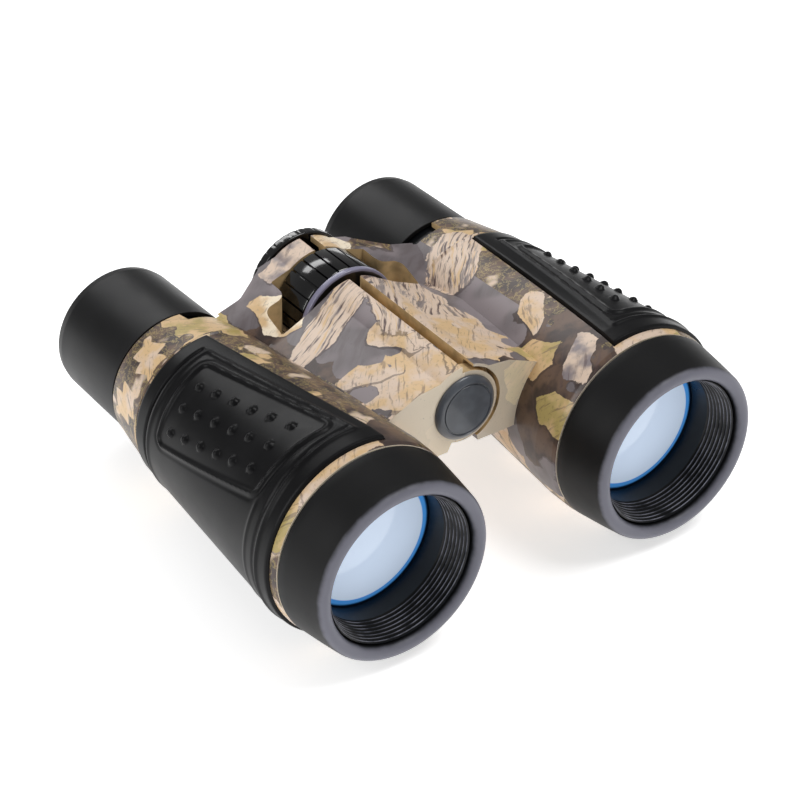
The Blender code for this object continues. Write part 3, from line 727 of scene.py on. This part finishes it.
WASHER_ROOM_R = 6.8
PIN_BORE_Y = (23.0, 76.0)
# Corners (y, r, radius) of the shell, outside and inside
SHELL_OUTSIDE = ((2.6, 15.2, 0), (2.6, 16.6, 0), (11.4, 16.6, 0), (11.4, 18.75, 0.2), (12.4, 19.0, 1.0),
                 (BODY_WIDE_Y, BODY_WIDE_R, 3.0), (BODY_NARROW_Y, BODY_NARROW_R, 0.1),
                 (BODY_NARROW_Y + 0.45, 15.55, 0.25), (RIM_Y, 13.66, 0.35))
SHELL_INSIDE = ((RIM_Y, 12.6, 0.2), (60.0, 12.6, 0), (57.0, 13.6, 0), (18.4, 17.0, 0), (18.4, 13.4, 0),
                (16.4, 13.4, 0), (16.4, 15.2, 0))
# Pocket under the leaf's front part: corners (x, z, radius)
POCKET = ((9.2, TOOL_Z[0], 0), (9.2, 12.2, 0.8), (15.2, 10.2, 0.8), (15.2, TOOL_Z[0], 0))
POCKET_Y = (27.2, 54.0)
# Space under the cover at the leaf's rear: corners (x, z)
UNDER_COVER = ((-3.0, -2.0), (-3.0, 13.0), (7.0, 13.0), (10.0, 13.2), (20.0, 10.9), (27.0, 9.0), (27.0, -2.0))
COVER_Y = (72.3, 76.0)
COVER_R = 8.7
# The leaf's slanted rear edge: corners (x, y, radius)
REAR_SLANT = ((9.5, 75.1, 2.0), (17.0, 70.6, 3.0), (30.0, 69.9, 0), (30.0, BEHIND_Y, 0), (9.5, BEHIND_Y, 0))
# The leaf ends inside the shell: corners (y, r)
LEAF_END = ((20.0, 0.0), (20.0, 17.8), (57.0, 14.6), (62.0, 13.9), (BEHIND_Y, 13.1), (BEHIND_Y, 0.0))
# Rooms round a barrel axis: radii, angles, lengths and steps
ARM_ROOM = ((11.6, 16.8), (-20.0, 45.0), (70.4, BEHIND_Y), 16)
NOTCH = ((11.0, 14.8), (-30.0, 85.0), (69.7, 77.0), 24)


def between(y, low, high):
    """The leaf's station at y, between two listed ones."""
    share = (y - low[0]) / (high[0] - low[0])

    def mix(a, b):
        if isinstance(a, tuple):
            return tuple(mix(p, q) for p, q in zip(a, b))
        return a + (b - a) * share
    return tuple(mix(a, b) for a, b in zip(low, high))


def leaf_mesh(side):
    slot_x = SLOT_X[side]
    sections = []
    for low, high in zip(LEAF_STATIONS, LEAF_STATIONS[1:]):
        count = 5
        for i in range(count + (high is LEAF_STATIONS[-1])):
            y, radius, shoulder, flank, end = between(low[0] + (high[0] - low[0]) * i / count, low, high)
            start = math.degrees(math.acos(slot_x / radius))
            over = arc((0, HINGE_Z), radius, start, LEAF_ARC_END, 14)
            edge_x, edge_z = over[0]
            corners = [(slot_x, SLOT_FOOT, 0), (edge_x, edge_z, 0.25)]
            corners += [(x, z, 0) for x, z in over[1:-1]]
            corners += [(*over[-1], 2.5), (*shoulder, 3.5), (*flank, 1.0), (*end, 0)]
            outline = [LEAF_BOTTOM] + fillets(corners, 6, closed=False) + [(end[0], LEAF_BOTTOM[1])]
            sections.append((y, mirrored(side, outline)))
    return lofted(f"leaf_{side}", sections)


def sector(name, side, radii, angles, y_range, count):
    """Part of a ring round a barrel axis."""
    inner, outer = radii
    start, end = angles
    stops = [start + (end - start) * i / count for i in range(count + 1)]
    outline = [barrel_point(side, outer, a) for a in stops]
    outline += [barrel_point(side, inner, a) for a in reversed(stops)]
    return lofted(name, [(y, outline) for y in y_range])


def barrel_mesh(word, side):
    """Shell with its half of the hinge, cut and joined like the frame's barrel but finer."""
    centre = (side * BARREL_X, 0)
    hinge = (0, HINGE_Z)
    shell = turned(word + "_shell", fillets(SHELL_OUTSIDE + SHELL_INSIDE, 4), centre)

    cuts = []
    for i, (front, rear) in enumerate(KNUCKLES[-side]):
        cuts.append(cylinder(f"room_{i}", (front - GAP, rear + GAP), KNUCKLE_ROOM_R, hinge))
    cuts.append(cylinder("washer_room", WASHER_ROOM_Y, WASHER_ROOM_R, hinge))
    if side > 0:
        cuts.append(cylinder("boss_room", (BOSS_Y[0] - 1.0, BOSS_Y[1] + GAP), BOSS_ROOM_R, hinge))
    front, rear = WINDOW_Y
    window = [(-1.0, front, 0), (WINDOW_X, front, 0.6), (WINDOW_X, WINDOW_SIDE_Y, 2.0),
              (WINDOW_WAIST_X, WINDOW_SIDE_Y, 2.2), (WINDOW_WAIST_X, rear, 0.4), (-1.0, rear, 0)]
    cuts.append(plan_prism("window", mirrored(side, fillets(window)), TOOL_Z))
    pocket = mirrored(side, fillets(POCKET))
    cuts.append(lofted("pocket", [(y, pocket) for y in POCKET_Y]))
    cuts.append(lofted("under_cover", [(y, mirrored(side, UNDER_COVER)) for y in COVER_Y]))
    cuts.append(cylinder("cover_inside", COVER_Y, COVER_R, hinge))
    cuts.append(plan_prism("slant", mirrored(side, fillets(REAR_SLANT)), TOOL_Z))
    cuts.append(turned("leaf_end", LEAF_END, centre))
    cuts.append(sector("arm_room", side, *ARM_ROOM))
    leaf = boolean(word + "_leaf", leaf_mesh(side), [(mesh, "DIFFERENCE") for mesh in cuts])

    steps = [(leaf, "UNION")]
    if side < 0:
        steps.append((cylinder("boss", BOSS_Y, BOSS_R, hinge), "UNION"))
    for i, y_range in enumerate(KNUCKLES[side]):
        steps.append((cylinder(f"knuckle_{i}", y_range, KNUCKLE_R, hinge), "UNION"))
    steps.append((cylinder("pin_bore", PIN_BORE_Y, PIN_BORE_R, hinge), "DIFFERENCE"))
    steps.append((sector("notch", side, *NOTCH), "DIFFERENCE"))
    steps.append((grip_recess(side), "DIFFERENCE"))
    return boolean(word + "_barrel_shell", shell, steps)


def grip_recess(side):
    """Room for the grip in the shell, a little larger all round."""
    sections = []
    for y in (GRIP_FRONT_Y - GRIP_GAP, BODY_WIDE_Y, GRIP_REAR_Y + GRIP_GAP):
        inner = body_radius(y) - GRIP_SINK
        spare = math.degrees(GRIP_GAP / inner)
        start, end = grip_edge(y) - spare, 360 - grip_edge(y) + spare
        stops = [start + (end - start) * i / 72 for i in range(73)]
        outline = [barrel_point(side, inner + 3.0, a) for a in stops]
        outline += [barrel_point(side, inner, a) for a in reversed(stops)]
        sections.append((y, outline))
    return lofted("grip_recess", sections)


def show_raw_plastic(mesh):
    """Second material where the print doesn't reach: slot, lower walls of the window and inner faces."""
    for face in mesh.polygons:
        centre = face.center / MM - ORIGIN
        normal = face.normal
        x, y, z = abs(centre.x), centre.y, centre.z
        axis_r = math.hypot(x - BARREL_X, z)
        in_shell = axis_r < body_radius(y) - 1.0 and x > 12 and (y > 12 or axis_r < 15.3)
        slot = x < 2.4 and abs(normal.x) > 0.8 and 24.5 < y
        window = WINDOW_Y[0] - 0.3 < y < WINDOW_Y[1] + 0.3 and z < WINDOW_PRINT_Z and x < WINDOW_X + 0.4
        window = window and abs(normal.z) < 0.55 and axis_r > 13
        bore = math.hypot(centre.x, z - HINGE_Z) < 8.2 and y > 24.4 and x < 8.2
        under = normal.z < 0.3 and 26.0 < y < 54.5 and 9.0 < x < 15.4 and z > 0.6
        under = under and axis_r > body_radius(y) - 0.5
        inner = y > 71.5 and z < 14.5 and x < 24 and normal.z < 0 and axis_r > 13.7
        face.material_index = int(in_shell or slot or window or bore or under or inner)


# ---- grips

OUTER_LINE = ((56.1, 101.4), (17.6, 85.7))
PANEL = ((54.0, 111.0), (20.5, 95.0), (21.3, 144.0), (53.2, 166.0))
BUMP_Y = (49.8, 45.3, 40.5, 35.7, 31.1, 26.0)
BUMP_ROWS = ((122.5, 107.4), (138.7, 122.8), (155.9, 137.9))
BUMP_R = 0.88
BUMP_RISE = 0.72
GRIP_RISE = 0.68


def unrolled(y, angle):
    return np.array((UNROLL_R * math.radians(angle), y))


def segment_distance(s, y, a, b):
    """Distance of grid points to the segment between two unrolled points."""
    along = b - a
    t = ((s - a[0]) * along[0] + (y - a[1]) * along[1]) / (along @ along)
    t = np.clip(t, 0, 1)
    return np.hypot(s - a[0] - t * along[0], y - a[1] - t * along[1])


def polygon_distance(s, y, corners):
    """Signed distance to a polygon of unrolled points, negative inside."""
    distance = np.full(s.shape, 1e9)
    inside = np.zeros(s.shape, bool)
    for a, b in zip(corners, corners[1:] + corners[:1]):
        distance = np.minimum(distance, segment_distance(s, y, a, b))
        crosses = (a[1] > y) != (b[1] > y)
        with np.errstate(divide="ignore", invalid="ignore"):
            cut_at = a[0] + (y - a[1]) * (b[0] - a[0]) / (b[1] - a[1])
        inside ^= crosses & (s < cut_at)
    return np.where(inside, -distance, distance)


def ridge(distance, width):
    return np.exp(-(distance / width) ** 2)


def ramp(value, low, high):
    t = np.clip((value - low) / (high - low), 0, 1)
    return t * t * (3 - 2 * t)


def grip_height(y, angle):
    """Height of the grip's surface over the barrel's body."""
    s = UNROLL_R * np.radians(angle)
    radius = 1.6
    inset = [unrolled(*corner) for corner in PANEL]
    middle = sum(inset) / len(inset)
    inset = [corner + (middle - corner) / np.linalg.norm(middle - corner) * radius * 1.3 for corner in inset]
    panel = polygon_distance(s, y, inset) - radius
    height = np.full(s.shape, GRIP_RISE)
    height += 0.10 * ramp(-panel, 0.0, 5.0) - 0.12 * ramp(-panel, 0.1, 0.6)
    height += 0.30 * ridge(panel - 0.15, 0.42) - 0.16 * ridge(panel - 1.0, 0.35)

    # Outer line: along the top, then round the front and the rear towards the underside.
    top_rear, top_front = (unrolled(*corner) for corner in OUTER_LINE)
    outer = segment_distance(s, y, top_rear, top_front)
    below = ramp(angle, 84.0, 90.0)
    front_y = 17.4 - 0.9 * ramp(angle, 90.0, 150.0)
    outer = np.where(angle > OUTER_LINE[1][1], np.minimum(outer, np.abs(y - front_y)), outer)
    height += 0.30 * ridge(outer, 0.45)
    height -= 0.20 * ridge(y - front_y - 1.1, 0.32) * below
    rear_below = ramp(angle, 99.0, 103.0)
    height += 0.22 * ridge(y - 56.6, 0.5) * rear_below
    height -= 0.42 * ridge(y - 57.7, 0.28) * rear_below
    height += 0.14 * ridge(y - 20.4, 0.4) * ramp(angle, 146.0, 152.0)

    for i, bump_y in enumerate(BUMP_Y):
        share = i / (len(BUMP_Y) - 1)
        for rear_angle, front_angle in BUMP_ROWS:
            spot_s, spot_y = unrolled(bump_y, rear_angle + (front_angle - rear_angle) * share)
            off = np.hypot(s - spot_s, y - spot_y) / BUMP_R
            height += BUMP_RISE * np.clip(1 - off ** 2, 0, None) ** 0.75
    return height


def grip_mesh(word, side):
    """Half sleeve with the moulded panel, its lines and three rows of bumps."""
    rows, columns = 210, 226
    share_y = np.linspace(0, 1, rows)[:, None] * np.ones((1, columns))
    y = GRIP_FRONT_Y + (GRIP_REAR_Y - GRIP_FRONT_Y) * share_y
    edge = GRIP_EDGE[0] + (GRIP_EDGE[1] - GRIP_EDGE[0]) * share_y
    share_a = np.linspace(0, 1, columns)[None, :] * np.ones((rows, 1))
    angle = edge + (360 - 2 * edge) * share_a
    body = BODY_WIDE_R + (BODY_NARROW_R - BODY_WIDE_R) * np.clip(
        (y - BODY_WIDE_Y) / (BODY_NARROW_Y - BODY_WIDE_Y), 0, None)
    border = np.minimum(np.minimum(y - GRIP_FRONT_Y, GRIP_REAR_Y - y),
                        np.radians(np.minimum(angle - edge, 360 - edge - angle)) * body)
    rim = np.clip(border / 0.55, 0, 1)
    soft = 0.16 + 0.84 * np.sqrt(1 - (1 - rim) ** 2)
    outer = body + grip_height(y, angle) * soft
    inner = body - GRIP_SINK + 0.1
    a = np.radians(angle)
    points = []
    for reach in (outer, inner):
        x = side * (BARREL_X - reach * np.cos(a))
        z = reach * np.sin(a)
        points += list(zip(x.ravel().tolist(), y.ravel().tolist(), z.ravel().tolist()))
    shift = rows * columns
    faces = grid_faces(rows, columns)
    faces += [tuple(shift + i for i in reversed(face)) for face in faces]
    rim_loop = list(range(columns)) + [i * columns + columns - 1 for i in range(1, rows)]
    rim_loop += [(rows - 1) * columns + j for j in range(columns - 2, -1, -1)]
    rim_loop += [i * columns for i in range(rows - 2, 0, -1)]
    for i, j in zip(rim_loop, rim_loop[1:] + rim_loop[:1]):
        faces.append((i, shift + i, shift + j, j))
    return mesh_from(word + "_grip_sleeve", points, faces)


# ---- turned pieces

def hood_profile():
    """Rubber hood: a broad round lip, a slightly swelling side and a thin rear edge."""
    middle, round_r = 16.225, 1.375
    lip = arc((round_r, middle), round_r, 270, 90, 28)
    side = [(3.0, 17.86), (6.0, 18.26), (9.0, 18.62), (10.7, 18.83), (11.0, 18.78), (11.1, 18.6)]
    return lip + side + [(11.1, 16.9), (2.3, 16.9), (2.3, 14.85)]


def baffle_profile():
    """Ring in front of the lens, with turned ridges at its mouth and a smooth throat."""
    front, rear = RIDGE_Y
    mouth_r, throat_r = 14.25, 13.25
    groove = 0.35
    pitch = (rear - front) / RIDGES
    inside = []
    for i in range(RIDGES):
        crest = mouth_r + (throat_r - mouth_r) * i / (RIDGES - 1)
        y = front + i * pitch
        inside.append((y, crest + groove))
        inside += [(y + pitch * share, crest) for share in RIDGE_CREST]
        inside.append((y + pitch * RIDGE_FOOT, crest + groove))
    inside += [(rear + 0.2, throat_r), (11.4, 13.2)]
    return inside + [(11.4, 14.9), (2.9, 14.9), (2.9, 14.55), (1.5, 14.55)]


def lens_profile(edge_r, front, rear):
    """Lens from its faces: (y at the axis, further back at the edge, points)."""
    points = []
    for (middle_y, rise, count), ends in ((front, (0, edge_r)), (rear, (edge_r, 0))):
        points += [(middle_y + rise * (r / edge_r) ** 2, r) for r in np.linspace(*ends, count).tolist()]
    return points


def eyecup_profile():
    corners = [(73.6, 12.5, 0), (73.6, 13.35, 0.15), (92.6, 13.05, 2.0), (94.2, 12.75, 0.6),
               (95.2, 11.75, 0.6), (95.0, 11.1, 0.5), (88.7, 10.4, 0.2), (88.7, 12.5, 0)]
    return fillets(corners, 8)


def eye_ring_profile():
    """Funnel with fine steps, round the eye lens."""
    steps = 6
    funnel = []
    for i in range(steps):
        y = 88.0 - (88.0 - 86.1) * i / steps
        r = 9.5 - (9.5 - 6.9) * i / steps
        funnel += [(y, r), (y, r - 0.3)]
    return [(85.3, 6.8), (85.3, 10.5), (88.2, 10.5), (88.2, 9.6)] + funnel + [(86.1, 6.8)]


def cap_profile():
    """Hinge cap: flat face, a fine groove inside its chamfer, and a stub into the pin."""
    face = [(23.0, 0), (22.98, 3.5), (22.95, 4.85), (23.12, 4.95), (23.12, 5.15), (22.9, 5.25), (22.92, 5.45)]
    rim = [(23.55, 6.35), (23.75, 6.46), (24.05, 6.46), (24.1, 6.4)]
    return face + rim + [(24.1, 2.2), (30.0, 2.2), (30.0, 0)]


def wheel_mesh():
    """Focus wheel: broad ridges between narrow grooves, with chamfered ends and a raised rim on each face."""
    teeth, per_tooth, groove = 24, 24, 0.60
    front, rear = y_range_of("focus_wheel")
    outline = []
    for i in range(teeth * per_tooth):
        phase = i / per_tooth % 1.0
        off = abs(phase - 0.5) * 2
        outline.append(groove * float(ramp(np.array(off), 0.84, 0.92)))
    chamfer = ((0.0, 0.45), (0.12, 0.2), (0.45, 0.0))
    stations = [(front + y, less) for y, less in chamfer]
    stations += [(rear - y, less) for y, less in reversed(chamfer)]
    profile_points = []
    count = len(outline)
    for i in range(count):
        a = FULL_TURN * (i + per_tooth / 2) / count
        ring = [(front + 0.7, PIN_BORE_R), (front + 0.7, 8.0), (front, 8.3)]
        ring += [(y, WHEEL_R - less - outline[i]) for y, less in stations]
        ring += [(rear, 8.3), (rear - 0.7, 8.0), (rear - 0.7, PIN_BORE_R)]
        profile_points += [(r * math.cos(a), y, HINGE_Z + r * math.sin(a)) for y, r in ring]
    columns = len(stations) + 6
    return mesh_from("wheel_body", profile_points, grid_faces(count, columns, True, True))


def disc_mesh():
    """Bridge disc: round rim with small notches, and a stepped rear face."""
    front, rear = y_range_of("bridge_disc")
    notches = 36
    corners = [(front, 2.6, 0), (front, DISC_R, 0.35), (rear, DISC_R, 0.5), (rear, 8.6, 0.15),
               (rear - 0.45, 8.3, 0.1), (rear - 0.45, 4.6, 0.1), (rear, 4.3, 0.1), (rear, 2.6, 0)]

    def notch(y, r, a):
        wave = abs(a * notches / FULL_TURN % 1.0 - 0.5) * 2
        return -0.10 * max(0.0, wave - 0.6) / 0.4 if r > 9.9 and y > front + 0.9 else 0.0
    return turned("disc_body", fillets(corners, 5), (0, HINGE_Z), notches * 12, notch)


def nut_mesh():
    """Slotted screw head on the bridge disc."""
    front, rear = y_range_of("bridge_nut")
    corners = [(front, 0, 0), (front, 4.0, 0.1), (rear, 4.0, 0.5), (rear, 0, 0)]
    head = turned("nut_head", fillets(corners, 5, False), (0, HINGE_Z), 96)
    slot = [(x, HINGE_Z + z) for x, z in ((-5, -0.45), (5, -0.45), (5, 0.45), (-5, 0.45))]
    tool = lofted("nut_slot", [(rear - 0.7, slot), (rear + 1.0, slot)])
    return boolean("nut_body", head, [(tool, "DIFFERENCE")])


# ---- the object

def put(name, mesh, materials, body, node):
    piece = make_object(name, mesh, materials)
    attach(piece, body)
    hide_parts(node)
    return piece


def dress_object():
    camo = CamoPrint().build()
    raw = raw_plastic().material
    grip = rubber("grip_rubber_grained", BLACK_RUBBER, 0.36, shine=0.14).material
    cup = rubber("eyecup_rubber_grained", BLACK_RUBBER, 0.42).material
    hood = hood_material().material
    matt = rubber("matt_black", MATT_BLACK, 0.34, 0.04).material
    ridged = ridged_black().material
    gloss = gloss_plastic("gloss_black", GLOSS_BLACK, 0.13).material
    collar = collar_material().material
    cap = gloss_plastic("cap_satin", CAP_GREY, 0.30).material
    metal = steel().material

    for word, side in SIDES:
        half = word + "_half"
        eyepiece = word + "_eyepiece"
        centre = (side * BARREL_X, 0)
        shell = barrel_mesh(word, side)
        show_raw_plastic(shell)
        put(word + "_barrel_shell", shell, [camo, raw], half, word + "_barrel")
        put(word + "_grip_sleeve", grip_mesh(word, side), [grip], half, word + "_grip")
        axis = (side * BARREL_X, 0, 0)
        rings, eye_rings = (11.7, 11.95, 12.5, 13.1), (4.6, 5.6, 6.0, 8.4)
        lens = lens_material(word + "_objective_painted_reflection", LENS_REFLECTION_PALE, LENS_REFLECTED_RING, axis, rings).material
        eye = lens_material(word + "_eye_painted_reflection", EYE_REFLECTION_PALE, EYE_REFLECTED_RING, axis, eye_rings).material
        turned_pieces = (
            ("hood", hood_profile(), hood, half, "objective_hood", "hood_rubber"),
            ("ridged_ring", baffle_profile(), ridged, half, "baffle_ring", "black_plastic"),
            ("objective_glass", lens_profile(*OBJECTIVE), lens, half, "objective_lens", "coated_glass"),
            ("eyecup_rubber", eyecup_profile(), cup, eyepiece, "eyecup", "hood_rubber"),
            ("eye_funnel", eye_ring_profile(), matt, eyepiece, "eye_lens_ring", "black_plastic"),
            ("eye_glass", lens_profile(*EYE_LENS), eye, eyepiece, "eye_lens", "coated_glass"),
        )
        for piece_word, profile, material, body, node, slot in turned_pieces:
            name = f"{word}_{piece_word}"
            put(name, turned(name, profile, centre), [material], body, f"{word}_{node}")
        carried(word + "_eyepiece_tube", matt)

    hinge = (0, HINGE_Z)
    cap_piece = turned("hinge_cap_round", cap_profile(), hinge)
    put("hinge_cap_round", cap_piece, [cap], "left_half", "hinge_cap")
    put("focus_wheel_ridged", wheel_mesh(), [gloss], "focus_gear", "focus_wheel")
    front, rear = y_range_of("wheel_collar")
    corners = [(front, PIN_BORE_R, 0), (front, COLLAR_R, 0.3), (rear, COLLAR_R, 0.3), (rear, PIN_BORE_R, 0)]
    collar_ring = turned("wheel_collar_ring", fillets(corners, 5), hinge)
    put("wheel_collar_ring", collar_ring, [collar], "focus_gear", "wheel_collar")
    put("bridge_disc_notched", disc_mesh(), [gloss], "left_eyepiece", "bridge_disc")
    put("bridge_nut_slotted", nut_mesh(), [metal], "left_eyepiece", "bridge_nut")
    for node in ("hinge_pin", "friction_washer", "focus_screw"):
        carried(node, metal)


def carried(node, material):
    """A frame node that keeps its shape and gets a better material."""
    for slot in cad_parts[node].material_slots:
        slot.material = material


# ---- studio

def make_camera():
    a, e, roll = (math.radians(v) for v in (AZIMUTH, ELEVATION, ROLL))
    back = Vector((math.sin(a) * math.cos(e), -math.cos(a) * math.cos(e), math.sin(e)))
    right = Vector((math.cos(a), math.sin(a), 0))
    up = back.cross(right)
    target = point(0, TARGET_Y, 0) + (right * TARGET_SHIFT[0] + up * TARGET_SHIFT[1]) * MM
    turned_right = right * math.cos(roll) + up * math.sin(roll)
    turned_up = up * math.cos(roll) - right * math.sin(roll)
    data = bpy.data.cameras.new("studio_camera")
    data.lens = LENS
    data.clip_start = 0.01
    data.clip_end = 20
    camera = linked("studio_camera", data)
    spot = target + back * DISTANCE
    camera.matrix_world = Matrix((
        (turned_right.x, turned_right.y, turned_right.z, 0),
        (turned_up.x, turned_up.y, turned_up.z, 0),
        (back.x, back.y, back.z, 0),
        (spot.x, spot.y, spot.z, 1),
    )).transposed()
    bpy.context.scene.camera = camera


def area_light(name, place, size, power, colour=(1, 1, 1)):
    data = bpy.data.lights.new(name, "AREA")
    data.shape = "RECTANGLE"
    data.size, data.size_y = size
    data.energy = power
    data.color = colour
    light = linked(name, data)
    light.location = place
    light.rotation_euler = (-Vector(place)).to_track_quat("-Z", "Y").to_euler()


def make_studio():
    floor_size = 3.0
    mesh = bpy.data.meshes.new("floor")
    corners = [(-floor_size, -floor_size, 0), (floor_size, -floor_size, 0), (floor_size, floor_size, 0),
               (-floor_size, floor_size, 0)]
    mesh.from_pydata(corners, [], [(0, 1, 2, 3)])
    floor = linked("floor", mesh)
    glow = {"Emission_Color": (1, 1, 1, 1), "Emission_Strength": FLOOR_GLOW}
    shader = Shader("floor_paper", FLOOR_WHITE, 0.7, **glow)
    mesh.materials.append(shader.material)
    world = bpy.data.worlds.new("studio")
    world.use_nodes = True
    background = world.node_tree.nodes["Background"]
    background.inputs["Color"].default_value = (1, 1, 1, 1)
    background.inputs["Strength"].default_value = WORLD_GLOW
    bpy.context.scene.world = world
    area_light("key", (0.30, -0.25, 0.75), (0.45, 0.30), 3.4)
    area_light("left_strip", (-0.75, 0.10, 0.45), (0.16, 0.6), 2.4)
    area_light("back_top", (0.10, 0.75, 0.60), (0.6, 0.2), 2.0)
    bpy.context.scene.view_settings.view_transform = "Standard"


make_camera()
make_studio()
dress_object()
